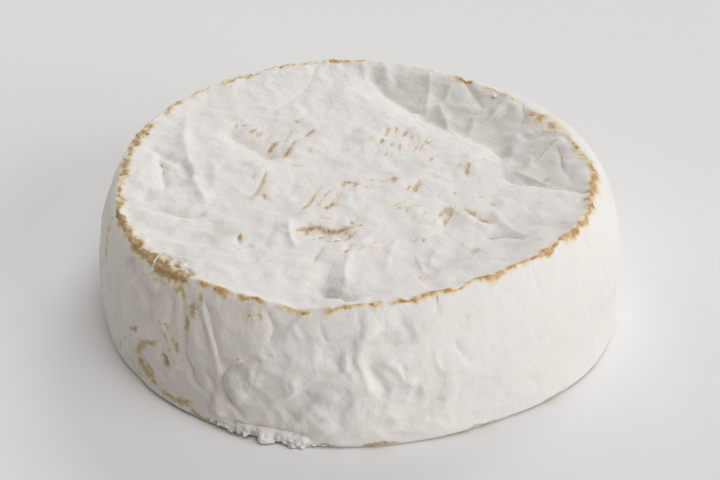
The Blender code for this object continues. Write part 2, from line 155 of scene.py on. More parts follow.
WALL_FOLDS = paths(Fold,
    # The dark left of the wall: a pale ridge between two grooves, and the long folds beside it
    ("sharp", 0.7, 0.6, 0.8, -125.2, 29.8, -122.9, 25.9, -120.8, 22.8, -119.3, 19, -118.1, 14.6, -118.4,
     11),
    ("sharp", -0.7, 0.8, 0.5, -123.4, 28.2, -121.5, 25.1, -119.5, 21.6, -118.2, 17.6, -117, 14.6),
    ("sharp", -0.7, 0.5, 0.9, -125.6, 27, -123.8, 24.6, -122, 21.8, -120.5, 17.6),
    ("sharp", -1.2, 1.1, 1.2, -129.2, 27.2, -128.2, 24, -127.3, 19.5, -127.1, 15.4, -126.2, 12.6, -125.4,
     10.8, -125.7, 8.6),
    ("round", 0.6, 1.4, 1.4, -124.8, 24, -124.3, 18, -123.6, 14),
    ("sharp", -1.1, 1, 1.1, -122.8, 13.8, -120.4, 12, -119.6, 10.2, -120.2, 7.4, -121.3, 4.8, -121.7, 2.6),
    ("sharp", -0.6, 0.8, 0.8, -125.4, 10, -123.1, 9, -121.3, 8.2, -120.4, 7.2),
    ("sharp", -1.3, 1.3, 0.8, -114.4, 18, -116.4, 15.4, -117.5, 12, -117.2, 9.4, -115.6, 7.2, -113.8, 5.8,
     -113, 3.4),
    ("round", 0.9, 2.2, 2.2, -114.2, 15, -114.5, 11.5, -112.4, 8.5),
    ("round", 0.8, 1.2, 1.2, -119.2, 9.6, -119, 6, -118, 3.2),
    ("sharp", 0.9, 0.8, 1.2, -134.4, 16, -135.4, 11.7, -135.8, 8.6, -134.8, 6.8, -133, 7.2),
    ("sharp", 0.8, 0.9, 0.9, -133.1, 7.3, -130.8, 10.2, -128.8, 12.4),
    ("sharp", -0.9, 0.9, 0.9, -134, 12.8, -133, 10.6, -131.6, 9.8),
    ("round", -0.9, 1.6, 1.4, -142, 9, -140.6, 6.4, -137, 4.6),
    ("round", 0.6, 1.4, 1.4, -143.8, 9.6, -140.6, 13, -136, 15),
    ("round", -1.2, 2.6, 2, -139, 25, -138.4, 20, -138.8, 15.5),
    ("round", -1.2, 1.8, 1.8, -149.2, 27.2, -147, 25.4, -144.6, 23.8),
    ("sharp", 0.9, 1, 1.4, -143.6, 28.4, -139.6, 26.4, -136.6, 25.2),
    ("sharp", 0.7, 0.9, 1.4, -147.4, 23.8, -143.5, 22.7, -140.6, 21.2, -139, 19),
    ("round", 0.7, 1, 1.3, -134.2, 25.6, -133.2, 21, -133.4, 17),
    ("sharp", -0.5, 0.8, 0.8, -132.2, 26, -131.2, 22, -131.6, 18),
    ("round", 0.5, 1.6, 1.6, -152, 24, -153, 16, -155, 9),
    ("sharp", -0.5, 1.1, 1.1, -156.5, 21, -157, 15, -156, 10),
    ("sharp", 0.5, 1, 1, -147, 9.5, -144, 6, -141.5, 2.5),
    # The crumpled front: a plate-shaped fold, a hollow with a sharp lower edge, and creases beside it
    ("sharp", -0.9, 1.2, 0.8, -109.2, 29, -107.5, 27, -106.9, 24.6, -107.5, 21.8),
    ("sharp", 0.6, 1.4, 0.8, -115.6, 16.6, -112.6, 19.3, -110, 20.1, -107.6, 21.2),
    ("sharp", -0.8, 0.6, 1.2, -116, 14.4, -113.4, 17.4, -111, 18.6, -108.2, 19.4),
    ("sharp", 0.7, 0.8, 0.8, -111.2, 18, -110.7, 15, -112.1, 11.6),
    ("sharp", 0.6, 0.8, 0.8, -108.2, 16.4, -109.4, 15, -109.5, 12.8),
    ("round", -1.2, 2.6, 2.4, -85.6, 26.8, -81.5, 25.2, -77.2, 26.4),
    ("sharp", -0.7, 1.5, 0.7, -85.2, 25.8, -83.2, 23.6, -81.2, 23.5, -78.2, 24.7, -76, 26.2, -75.2, 28.4),
    ("round", 0.6, 1.2, 1.2, -86.4, 30.4, -87.2, 26.4, -88.2, 22.4, -90.2, 20),
    ("sharp", 1, 1.3, 1.3, -85.1, 21.6, -82.8, 20, -80.8, 18.3, -79.2, 16, -77.6, 14),
    ("sharp", 0.8, 1, 1.1, -88.9, 21.8, -87.7, 17.6, -86.6, 12.8),
    ("round", -0.8, 1.1, 1.1, -86.9, 20.4, -85.6, 17, -83.3, 13.2),
    ("sharp", -1, 1.2, 0.8, -80.4, 20.2, -79.7, 17.8, -78.8, 15.4),
    ("sharp", 0.6, 0.7, 0.9, -73.7, 22.4, -72.7, 19.5, -71.6, 16.4),
    ("sharp", -0.5, 0.8, 0.6, -72.5, 21, -71.4, 17),
    ("sharp", -0.6, 1, 0.7, -69, 23.2, -68.2, 21.2, -67.1, 19.5, -64.6, 16.6),
    ("sharp", -1.1, 1.9, 0.8, -81.6, 4.6, -78.1, 6.5, -75.6, 8.2, -73.6, 9.7, -70.6, 10.2),
    ("sharp", 0.6, 0.8, 1.5, -80.6, 3.2, -77.1, 5, -74.6, 7.4),
    ("sharp", 0.4, 0.9, 0.9, -73.6, 8.2, -72.5, 5, -69.6, 2),
    ("sharp", 0.4, 0.8, 0.8, -70.3, 8, -69.4, 2.2),
    ("sharp", -0.45, 1.2, 0.9, -93.7, 4.6, -92.2, 9.5, -90.2, 12.5),
    ("sharp", -0.4, 0.9, 1.1, -92.2, 14, -89.8, 12.1), ("round", -1.1, 3.2, 3.2, -101.6, 13.6, -98.6, 10),
    ("sharp", -0.5, 0.9, 0.9, -94.4, 21, -92.7, 18.8), ("round", 0.9, 1.6, 1.6, -92.6, 20.4, -90.4, 20),
    ("sharp", -0.7, 0.9, 0.9, -84.8, 12.6, -83, 14.4), ("round", -0.7, 2, 2, -78.4, 13.8, -76.2, 13),
    ("round", 0.6, 1.6, 1.6, -99.6, 12.6, -96, 12.8, -93, 12),
    ("round", 0.5, 1.6, 1.6, -87.4, 9.4, -84, 8.4, -80.6, 7),
    ("sharp", 0.6, 0.8, 0.8, -103, 27.2, -101, 24.2), ("round", 0.7, 1.4, 1.4, -97.2, 6.4, -95, 3.6),
    ("sharp", 0.6, 1.2, 1.2, -104.5, 16, -102, 13, -101.5, 17.5),
    ("sharp", -0.6, 1.2, 1.4, -104.8, 9, -101, 6, -98.6, 6.6),
    ("sharp", -0.45, 0.6, 0.6, -97.1, 28, -95.6, 23.4),
    ("sharp", -0.25, 0.6, 0.6, -89.3, 31.6, -88.9, 27.9, -88.7, 24.4),
    ("sharp", -0.4, 0.6, 0.6, -71.3, 32.4, -71.9, 28), ("sharp", -0.35, 0.6, 0.6, -66.6, 27.6, -65, 26),
    ("sharp", -0.3, 0.6, 0.6, -62.9, 18.4, -63.2, 15.4),
    ("round", 0.5, 1.5, 1.5, -71.5, 20, -70, 12, -72, 6),
    ("sharp", 0.4, 1, 1, -107, 10, -104.5, 6.5, -105, 3),
    ("sharp", -0.7, 0.7, 0.9, -120.5, 3.4, -114, 3.2, -108, 3.6, -102, 3.2, -97, 2),
    # The smooth right
    ("sharp", -0.35, 0.6, 0.6, -47.2, 32, -46.3, 28, -46.6, 25),
    ("sharp", -0.3, 0.8, 0.8, -51.5, 9.5, -49.5, 7.5, -47.5, 5.5),
    ("sharp", -0.3, 0.8, 0.8, -50.3, 19.5, -49.2, 17, -48.2, 17.4),
    ("round", 0.25, 1.1, 1.1, -22, 27, -21.5, 18, -22.5, 10),
    ("round", 0.25, 0.9, 0.9, -18, 28, -17.5, 19, -18.5, 9),
    ("round", -0.2, 0.8, 0.8, -15, 26, -14.5, 16, -15.5, 8),
    ("round", -0.25, 1.5, 1.5, -62, 13, -58, 9, -56, 4),
    # The far side
    ("round", -0.7, 1.8, 1.8, 118, 27, 121, 17, 119, 7), ("round", 0.6, 2, 2, 64, 28, 61, 18, 63, 8),
    ("round", -0.6, 2, 2, 150, 26, 154, 15, 152, 6), ("sharp", -0.5, 1, 1.2, 100, 30, 97, 22, 99, 15),
    ("sharp", 0.5, 1.1, 1.1, 136, 29, 134, 20, 137, 11), ("sharp", -0.5, 1.2, 0.9, 82, 12, 88, 8, 94, 9),
    ("sharp", 0.5, 1, 1.2, 166, 28, 169, 20, 168, 10), ("sharp", -0.4, 0.9, 0.9, 35, 24, 38, 17, 36, 10),
    ("round", -0.3, 1.4, 1.4, 8, 22, 11, 15, 9, 8))
FOLD_STEPS = 6
FOLD_FADE = 0.2
BANK_POWER = 1.5
CREASE_ROUNDING = 0.2
FOLD_WAVER = 0.45
FOLD_WAVER_SIZE = 3.5

# Rounded dents and bumps of the wall: bearing, height, radius and depth
WALL_LUMPS = (
    (-90, 12, 5, 0.35), (-73, 17, 3.4, -0.4), (-106, 7, 4, -0.5), (-95, 22, 3.4, -0.4), (-85, 9, 3.2, -0.4),
    (-66, 11, 4.5, -0.3), (-133, 22, 3, -0.5), (-96, 28, 3, 0.3), (-104, 20, 3, -0.4), (-123, 30, 2.5, 0.3),
    (72, 15, 5, -0.5), (110, 13, 4.5, 0.5), (142, 18, 5, -0.5), (22, 15, 6, -0.3),
)
TOP_LUMPS = (
    (-24, 6, 8, 0.5), (-4.5, -42, 4, -0.3), (6, 20, 9, 0.2), (27, 9, 3.5, 0.35), (-18, 19, 4, -0.5),
    (-14, -27, 3.5, -0.3), (-42, -27, 4, 0.3), (16, -22, 4, -0.3), (7, -6, 4.5, 0.25), (-8, 6, 4, -0.25),
    (40, 4, 5, -0.35), (26, -29, 6, -0.4), (-37, -1, 3.2, -0.4), (33, 24, 4, -0.3),
)

# Soft crumpling of the wall, the same as in the solid, and the finer creasing that lies on it
CRUMPLE_BEARING = -100.0
CRUMPLE_SPREAD = 42.0
CRUMPLE_HEIGHT = 0.65
CRUMPLE_FLOOR = 0.3
CRUMPLE_SIZE = 9.0
WALL_FOLD_SHARE = 0.72
SWELL_HEIGHT = 0.3
SWELL_SIZE = 14.0
ROLL_HEIGHT = 0.38
ROLL_SIZE = 5.5
NUB_HEIGHT = 0.24
NUB_SIZE = 2.8
TOP_CREASING = 1.6
TOP_CREASING_SIZE = 11.0
CREASING_HEIGHT = 0.3
CREASING_SIZE = 6.5
FUZZ_HEIGHT = 0.04
FUZZ_SIZE = 1.4

# The rim: how far its edge wanders, and the crust that shows on it. A stretch of crust has its first and last
# bearing, how whole it is, its width, and how far its middle lies inside the edge (on the wall if negative).
RAG_HEIGHT = 0.28
RAG_SIZE = 2.2
Crust = namedtuple("Crust", "first last wholeness width inset")
CRUST = (
    Crust(-184, -163, 0.92, 1.15, 0.6), Crust(-166, -146, 0.95, 1.1, 0.4), Crust(-150, -128, 1.1, 1.7, 0.2),
    Crust(-126, -117, 0.95, 0.75, -0.4), Crust(-116, -109, 0.95, 0.55, -0.5),
    Crust(-106, -99, 0.8, 0.5, -0.4), Crust(-96, -84, 1, 0.6, -0.3), Crust(-82, -62, 0.98, 0.58, -0.2),
    Crust(-63, -14, 1.05, 0.74, -0.2), Crust(-16, 8, 0.95, 0.85, 0.4), Crust(7, 20, 0.8, 0.75, 0.8),
    Crust(22, 29, 0.75, 1.1, 1.2), Crust(29, 37, 0.8, 1.3, 1.9), Crust(43, 54, 0.95, 0.7, 0.5),
    Crust(57, 63, 0.9, 0.9, 0.8), Crust(66, 84, 0.35, 0.5, 0), Crust(86, 98, 0.95, 0.65, 0.4),
    Crust(99, 115, 0.8, 0.42, 0.2), Crust(115, 126, 1, 0.75, 0.5), Crust(130, 137, 0.8, 0.8, 0.7),
    Crust(139, 148, 0.8, 0.7, 0.5), Crust(152, 178, 0.9, 0.9, 0.6),
)
CRUST_EDGE = 2.0
CRUST_RELIEF = 0.3
CRUST_GRAIN = 1.3

# Where the rind is torn and rough on the top: x, y, half length, half width, turn, depth and how brown it is
TORN = (
    (-5, -23.2, 6.4, 2.6, -3, 0.5, 0.25), (-39.4, -32, 2.8, 1.3, -45, 1, 1.05),
    (-37.4, -30.8, 1.9, 1.1, -30, 1.6, 1.15), (-34.4, -33.4, 1.6, 1, -60, 1.7, 1.2),
    (-36.1, -35.3, 2.1, 1.1, -50, 1, 1.05), (-31.9, -37.6, 2, 1.1, -60, 1.6, 1.2),
)

# The greyish part at the back right lies to the left of this line, as one follows it. Its grey is partly thin
# mould and partly painted shade for its slope away from the light
THIN_AND_SHADE_EDGE = ((-9, 58), (0, 49), (7.5, 39.5), (12.8, 31), (16.5, 25), (21, 19.6), (27.6, 16.2), (30.8, 9.5),
             (30.8, 2), (33, -1.2), (39.5, -3.9), (43.2, -5), (52, -10.4))
# How grey the back right part is painted: thin mould and painted shade together
THIN_AND_SHADE_PART = 0.75

# Brown strokes: their width, how dark they are, and their points
Stroke = namedtuple("Stroke", "width tone points")
# On the top, most of them are the marks of the draining mat's straws
TOP_STROKES = paths(Stroke,
    # Left of the middle, beside the valley
    (0.9, 0.85, -26.1, 22.2, -25.7, 23.6), (1, 0.9, -24.4, 22.7, -23.6, 23.5),
    (1.1, 1, -23, 20.2, -22.3, 20.9, -21.6, 21.8), (1.1, 1.05, -21.3, 18.8, -20.7, 20, -19.8, 21.3),
    (0.9, 0.65, -19.3, 15.1, -18.6, 18.6, -17.6, 20.4), (1.4, 1.15, -18.4, 12.4, -17.8, 14.3, -16.7, 16.4),
    (1.4, 1.2, -15.1, 8.7, -14.3, 11, -13.5, 13), (0.9, 0.9, -13.4, 13.4, -12.6, 15.6, -12.1, 16.9),
    (0.7, 0.75, -15.3, 14.6, -14.4, 18.6, -13.5, 22), (1.1, 0.95, -10.6, 17.9, -9.8, 19.5, -8.7, 20.9),
    (1, 0.9, -12.9, 24.4, -11.7, 25.7), (0.9, 0.65, -28, 12.6, -27.2, 13.5),
    (0.9, 0.6, -25.5, 12.2, -24.9, 10.8), (1, 0.75, -13.4, 5, -10.7, 5.1), (0.8, 0.5, -10, 9.7, -9, 12.3),
    (0.8, 0.45, -16.1, 14.5, -15.1, 17.2), (0.8, 0.4, -16.6, 22.7, -15.3, 25.5),
    # The low mound
    (1, 0.9, -18.9, -2.6, -18.7, -0.6, -18.3, 1.6), (0.9, 0.65, -21.1, -1.3, -20.5, 0.9),
    (1, 0.8, -22, -10.5, -20.5, -7.4, -19.3, -4.2, -18.5, 0.3),
    (0.9, 0.7, -21.4, -9, -20.2, -5.8, -19.1, -3), (1.1, 0.95, -19.8, -6.6, -18.7, -7.4, -17.2, -9.6),
    (1.6, 0.4, -21.4, -8.6, -20.4, -5.6), (0.8, 0.5, -29.9, -11.5, -28.9, -11.9),
    (0.9, 0.55, -27.4, -13.4, -26.2, -14),
    # The middle
    (1, 0.85, -10.8, -13.8, -9.3, -11.3, -7.8, -6.6, -6.9, -3.4),
    (0.8, 0.65, -8, -13, -6.9, -10.5, -5.4, -6.6, -4.2, -4.2),
    (1.5, 1.05, -6.1, -13.3, -4.9, -12.1, -3.8, -10.7), (0.9, 0.75, -3.6, -10.5, -3.2, -7.8, -2.8, -5.8),
    (1.1, 1.05, -2.2, -3.4, -2, -1.8, -0.4, -2.3, 0.8, -2.1), (1.1, 1.05, 0.2, -4, 0.7, -2.4),
    (1, 0.85, 1.4, -4.6, 3.2, -4.3), (0.8, 0.8, 3, -1.4, 4.4, -1.3), (0.9, 0.75, 5.6, -2.9, 6.5, -1.8),
    (1.1, 1.1, 7.2, -1.9, 8.6, -0.9, 8.4, -3.2),
    # Right of the middle, in close rows
    (0.8, 0.6, -0.2, 20, 0.5, 20.5), (0.9, 0.7, 3.5, 15.8, 4.2, 17.2), (1.1, 0.95, 5.8, 14.4, 6.5, 16.6),
    (1, 0.85, 6.8, 18, 7.6, 21.5), (1, 0.8, 9.1, 19.1, 9.3, 22.1), (1.1, 1, 10.8, 18.4, 11.5, 20.9),
    (1, 0.6, 7.8, 13, 8.6, 14.8), (1, 0.7, 9.4, 11.7, 10.1, 14.2), (0.9, 0.5, 6.7, 9.5, 7.4, 11.2),
    (0.9, 0.85, 12.3, 16.9, 12.7, 18), (1, 0.7, 12.7, 10.9, 13.6, 13.9), (0.9, 0.6, 11.5, 11.5, 12.5, 15.1),
    (0.9, 0.8, 14, 11.2, 14.8, 13.9, 15.7, 16.6), (1, 0.9, 15.8, 14.8, 16.7, 15.9),
    (1, 1, 16.1, 6.5, 16.9, 8.9), (0.9, 0.9, 22.1, 4.5, 22.6, 6.2), (1, 1.1, 23.7, 0.5, 24.1, 3.5, 24.9, 7),
    (0.9, 0.9, 26.5, 29.8, 26.9, 30.3), (0.9, 0.85, 20.2, 31.1, 20.7, 31.7),
    # In front of the middle, to the right
    (1, 0.95, 11.2, -5.9, 11.6, -3.7), (1.1, 1.05, 12.7, -6.6, 13.3, -4.2, 14.1, -1.7),
    (0.9, 0.8, 20.8, -6.5, 21.2, -5.8), (0.9, 0.85, 25.9, -8.3, 26.8, -7.7), (1, 0.9, 28, -10.6, 29, -11.4),
    (0.8, 0.6, 34.3, -8.8, 34.7, -7.6), (0.9, 0.6, 6.9, -13, 10.5, -9.8),
    (0.8, 0.75, 8.1, -13.7, 11.2, -12.7, 14, -11.9), (1.8, 0.4, 8.8, -12.6, 11.8, -12),
    (1, 0.8, 10.9, -15, 11.4, -12.2), (0.9, 0.7, 14.2, -16.4, 14.7, -13.8),
    (1.3, 1.05, 17.4, -16.2, 18.4, -13.9, 19.9, -11.5), (0.9, 1.15, 18.1, -19.4, 19.4, -15.6, 20.5, -12.1),
    (0.9, 0.85, 20.8, -16, 21.6, -13.7), (0.9, 0.6, 22, -17.6, 22.3, -15),
    (0.9, 1, 22.8, -12.9, 24.1, -14.4, 25.8, -16.4, 27.9, -18.4), (1.1, 1.2, 23.8, -13.9, 24.6, -14.8),
    (1.2, 1.25, 25.8, -16.6, 26.8, -17.9), (1, 0.85, 11.9, -26.1, 12.7, -24.5),
    (1, 0.75, 13.7, -26.1, 14.3, -25), (1.1, 0.75, 12.9, -41.4, 13.3, -39.2),
    (0.9, 0.8, 13.6, -41, 14.2, -39.6), (1.2, 0.85, 23.1, -30.6, 24.4, -30.3),
    # A pale tan patch of short strokes
    (1.3, 0.5, 0.8, -30, 1.9, -27.7), (1.2, 0.5, 2.6, -29.7, 3.6, -27.2),
    (1.1, 0.5, 3.9, -29.4, 4.5, -28.1), (1.2, 0.55, 5.1, -29.9, 5.8, -28.1),
    (1.2, 0.5, 3, -27.4, 4.9, -25.6), (1, 0.5, 6.4, -28, 7.3, -27.1),
    # The torn patch and the slits
    (1.6, 1.25, -11, -21.9, -9.6, -21.4, -7.5, -20.4, -5.2, -21.9, -2.1, -21.3, -0.4, -20.2),
    (0.8, 0.95, -0.6, -20, 0.4, -19.7, 1.8, -20.1), (1.5, 1, -9.8, -23.6, -9.2, -21.7, -8.5, -19.6),
    (0.8, 1, -7.7, -25.1, -6.3, -23.9, -5.2, -22.9, -3.6, -23.5),
    (0.8, 1.05, -3.8, -26.1, -2.1, -25.2, -0.2, -23.5), (1, 0.95, -2.3, -21.6, -0.9, -22.8, -0.2, -23.9),
    (1, 0.7, -6.9, -16.6, -5.7, -16.9, -4.6, -17.4), (1.1, 1.05, -0.3, -18, -0.2, -19.2),
    (1.1, 0.65, -7.7, -32.3, -6.8, -30.1, -5.7, -27.6), (0.8, 0.8, -1.4, -30.6, -0.9, -27.6),
    (1.1, 1.15, -22.7, -25, -22.6, -22.6), (1, 0.9, -41.6, 7.6, -41, 5.2))
MARK_DEPTH = 0.14
STRAW_TURN = 76.0

# On the wall, in bearings and heights: tan strokes where the mould is thin
WALL_STROKES = paths(Stroke,
    # An arch with a hollow under it, and the flap beside it
    (1.7, 0.95, -143.6, 8.1, -141.3, 11, -138.5, 12.9, -135.4, 14.2),
    (1.6, 0.9, -143.4, 8, -142.1, 6, -140.2, 4.6, -137.3, 4.1, -136.1, 3.7),
    (2.6, 0.9, -141, 6.6, -139, 5.8, -136.6, 5), (1.5, 0.95, -134, 12.4, -133.2, 10.6, -132, 10.2),
    (0.8, 0.8, -132, 13, -131.8, 14.2, -130.5, 15.2), (0.9, 0.9, -130.2, 12.5, -129.1, 12),
    # Dashes and dots above them
    (1, 1.15, -146, 12.5, -142.5, 14.2), (0.9, 0.75, -135.7, 18.6, -133.8, 19.4),
    (1, 1, -132.6, 20, -131.8, 18.4), (1.1, 0.85, -133.2, 17.3, -132, 15.9),
    (0.9, 0.8, -130.9, 17.8, -130.3, 17), (1, 0.95, -129.6, 17.4, -129.4, 14.7),
    (1.4, 1.15, -126.9, 22.8, -127, 20.6), (1.9, 0.9, -126.2, 26.4, -125.5, 24),
    (1.6, 0.85, -132, 27.2, -130.6, 27.7, -129, 27.2, -128.6, 25.2),
    (1.7, 0.6, -139.4, 26.8, -137, 27.1, -134.7, 26.6), (1, 0.85, -148.4, 9.6, -149.1, 7.6),
    (0.8, 0.8, -150.2, 9.4, -150.8, 8.4), (1, 0.8, -151.5, 6.4, -153.6, 3),
    (1.2, 0.85, -146.8, 4.2, -145.6, 2.8), (1.1, 0.9, -143.6, 2.6, -142, 3.2),
    (0.9, 0.7, -153.8, 10.8, -153.4, 9.2), (2.2, 0.95, -165, 28, -163.8, 23.4, -160.8, 20.8),
    (0.9, 0.65, -115.9, 23.4, -115.3, 22.1), (0.7, 0.5, -119.7, 29.7, -118.2, 27.1, -116.9, 25.9),
    (1.3, 0.85, -125, 29.4, -123.6, 26.9), (1.4, 0.5, -113, 26.6, -110.2, 28.2, -108.4, 26.2),
    (1, 0.55, -115.2, 17.6, -113, 19.2, -109.4, 20.2),
    # Along the foot
    (1.8, 1, -135.2, 2.9, -132.9, 2.6, -129.5, 2.8, -126, 3.8),
    (1.2, 1.1, -126, 1.8, -123.8, 1.2, -121.1, 1), (1.2, 1.15, -121.1, 1, -118.5, 1.4, -115.6, 1.2),
    (1.2, 1.1, -105.2, 1.6, -103.4, 2.6), (1, 1, -97, 1, -93.4, 0.9),
    (1.1, 1.05, -88, 0.9, -84.6, 1.6, -81, 1),
    (0.9, 0.9, -70.4, 0.8, -66.3, 0.7, -63.4, 1.2, -61, 0.8, -57, 1),
    (1.1, 0.85, -47, 0.8, -43, 0.9, -40, 1.9), (0.6, 0.65, -60, 0.4, -48, 0.4),
    (0.6, 0.65, -40, 0.4, -22, 0.4),
    # The far side
    (1.8, 0.7, 114, 8, 117, 11, 121, 11.6), (1.4, 0.75, 121, 25, 123, 22.6),
    (1.8, 0.75, 148, 4.6, 151, 7.4, 153, 10), (1.2, 0.7, 92, 1.6, 97, 2.4, 102, 1.4),
    (1.1, 0.6, 66, 21, 67, 18.4), (1.5, 0.65, 171, 10.6, 173.4, 13.6), (1.1, 0.65, 34, 1, 40, 1.4, 46, 0.9),
    (1, 0.6, 6, 0.8, 14, 1))

# Where the top is painted greyer: partly thin greyish mould, partly painted shade on slopes and mounds turned
# from the light, and painted light where the strength is negative. x, y, half length, half width, turn,
# strength
THIN_AND_SHADE_PATCHES = (
    (46, 20, 5, 4, 80, 0.6), (33, 35, 4, 4, 0, 0.6), (24, 21.5, 3, 2.5, -35, -0.5),
    (-20, -7, 6, 4, 60, 0.35), (-13, -14, 5, 5, 0, 0.3), (17, 36, 5, 3, 80, -0.35),
    (-4.5, -22.5, 7, 3, 0, 0.35), (32, 24, 9, 7, 110, 0.35), (23, 41, 10, 6, -32, 0.25),
    (10, 41, 10, 4, -35, 0.3), (39, 3, 7, 7, 10, 0.45), (36, -22, 14, 9, 40, 0.35),
    (20, -34, 14, 7, 20, 0.35), (-5, -43, 6, 5, 0, 0.5), (-21, 13, 9, 3.5, -45, 0.5),
    (12, 3, 9, 6, 20, 0.35), (-27, -21, 7, 4.5, 10, 0.35), (-36, 0, 8, 3, -75, 0.35),
    (-17, 27, 8, 4, -30, 0.3),
)

# The same on the wall, by bearing and height: painted shade in hollows and on shaded folds, and painted light
# where the strength is negative
WALL_SHADE_PATCHES = (
    (-139, 9, 16, 9, 0, 0.8), (-111, 28, 5, 3, 0, 0.6), (-118, 29, 5, 2, 0, 0.4),
    (-122, 8, 12, 10, 10, 0.3), (-146, 23, 12, 6, 0, 0.3), (-140, 22, 8, 5, 110, 1),
    (-146, 26, 4, 2.2, 100, 0.8), (-152, 17, 7, 3, 95, 0.6), (-128.5, 16, 7, 1.8, 92, 0.8),
    (-119.6, 20, 6, 1.8, 108, 0.9), (-117, 11, 5, 2.4, 96, 0.9), (-121.6, 8, 5, 1.6, 92, 0.8),
    (-110, 23, 5, 4, 90, 0.45), (-138, 9, 3.4, 2.6, 80, 0.9), (-109, 11, 6, 3.5, 90, 0.5),
    (-99, 10, 5, 3, 60, 0.45), (-132, 24, 3.6, 2, 90, 0.7), (-83, 24.5, 5, 2.6, 10, 0.4),
    (-78, 14, 6, 5, 100, -0.3), (-90, 4, 9, 4, 0, -0.4), (-126, 4.5, 5, 1.6, 12, 0.7),
    (-145, 5, 4, 2.4, 60, 0.6), (-67, 14, 5, 2.5, 110, 0.3),
)

# Torn plates of rind at the foot: first and last bearing, the height of their roots, how far they reach out
# from the wall, and how far they hang
Plate = namedtuple("Plate", "first last height reach hang")
FOOT_PLATES = (
    Plate(-121.5, -112.5, 2.6, 0.8, 2), Plate(-115, -109, 3.1, 1.5, 2.9),
    Plate(-110.4, -102.6, 3.3, 1.7, 3.3), Plate(-104.6, -97.8, 2.8, 1.6, 2.8),
    Plate(-99.6, -94, 1.6, 1.2, 1.6), Plate(-96, -89, 1, 0.6, 1),
)
PLATE_STEP = 0.22
PLATE_ROWS = 14
PLATE_THICKNESS = 0.55
PLATE_SINK = 0.35

# Ribbons of torn skin that stand up along the broken rim: width, and points as x, y and height
Ribbon = namedtuple("Ribbon", "width points")
RIM_RIBBONS = (
    Ribbon(0.75, ((-39.6, -34.2, 28.4), (-39.3, -32.3, 29.0), (-38.5, -30.6, 29.4), (-37.2, -29.4, 29.6))),
    Ribbon(0.6, ((-31.7, -35.0, 29.3), (-30.7, -37.8, 29.3), (-29.7, -40.0, 29.0), (-28.8, -41.4, 28.6))),
)
RIBBON_THICKNESS = 0.36
RIBBON_ROWS = 4

# Lumps of mould and of crust that cling to the broken rim: x, y, height, radius, and how brown they are
RIM_CHUNKS = (
    (-33.0, -35.0, 29.7, 1.3, 0.0), (-32.3, -36.3, 29.5, 0.9, 0.0), (-34.3, -36.6, 29.0, 0.8, 0.4),
    (-36.6, -33.0, 29.6, 0.7, 0.9), (-38.8, -33.6, 29.0, 0.6, 0.9), (-30.9, -39.2, 29.1, 0.6, 0.9),
    (31.6, 36.4, 30.7, 0.7, 0.1),
)

# Hairline creases, too thin for the mesh: points and how dark they are
Hairline = namedtuple("Hairline", "tone points")
TOP_HAIRLINES = paths(Hairline,
    (0.9, 43.7, 14, 44.4, 7.4, 45, 0.4, 45.5, -4.2),
    (0.7, 34.2, 2.6, 36.4, 5.4, 38.4, 7.9, 42.9, 13.9, 45.8, 15.6), (0.5, 34, 10.4, 38, 11.6, 43, 14),
    (0.5, 38.6, 7, 39.2, 9.4, 41, 10.6), (0.5, 44.4, 3.6, 47, 5.2, 49.6, 6.4),
    (0.7, 38.8, -2.3, 40.7, -0.3),
    (1, 30.8, 1, 32.8, -1.4, 35.4, -2.7, 39.9, -4, 43.2, -5, 47.3, -7.7, 50.2, -9.3),
    (0.5, 37, 37, 37.7, 32, 38.1, 28.2, 37, 24.6), (0.8, 25.6, 43, 26.2, 38, 28, 33.5),
    (0.7, 28.4, 26.4, 31.8, 28.2, 34.8, 33.2), (0.5, 20.4, 34, 20.6, 30.5, 22, 27.5),
    (0.5, 36.4, 19.2, 39, 18, 42, 18.8), (1, -41.4, 8, -40.6, 4, -40, 0.7, -38.9, -5.4),
    (0.8, -38.6, -13.8, -35.4, -15, -32.2, -15.6, -30.2, -14.5), (0.5, -36.2, 5.4, -35.2, 2.4, -34, -0.6),
    (1, -6.4, -43.4, -2.9, -44.8, -1.2, -46.3, 0.4, -48.2), (0.6, -3.9, -35.4, -4.9, -38, -6.2, -41.6),
    (0.9, 25.7, -24.9, 29.1, -24.2, 32.2, -24.2, 34.6, -25), (0.4, 25.1, -17.9, 24.8, -22.2),
    (0.7, -24.2, -29.2, -22, -27.6, -20.6, -27), (0.8, -0.7, -27.2, -1.9, -31.2),
    (0.6, -6.1, -29.2, -8.4, -34), (0.4, 11.5, -32, 12.6, -36, 13.2, -40),
    (0.5, -14, 4.6, -11, 4.4, -9, 4.5), (0.5, -15.6, 16.2, -14.6, 11.5),
    (0.6, 20.5, -12.8, 19.2, -16.2, 17.9, -19.5, 18, -23),
    (0.4, 14.2, -12.2, 17.6, -9.7, 23.6, -8.9, 26.3, -7.7),
    (1, 22.6, -12.8, 24.9, -16.2, 26.8, -17.8, 28.6, -19.4), (0.8, -7.5, -24.9, -4.7, -26.3, -3.1, -26.1),
    (0.8, -1.5, -24.3, 1.4, -21.3), (0.5, 14.4, 17, 13.6, 12.5, 12.2, 7.5),
    (0.5, 15.2, 25.2, 16.2, 22.6, 18.8, 21.4), (0.6, -4, -19.8, 0.8, -20.8, 2, -21.4),
    (0.6, -8.2, -24, -5.5, -26, -2.5, -26.8), (0.6, -6.8, -22, -4.8, -24.5, -3.5, -26.5))
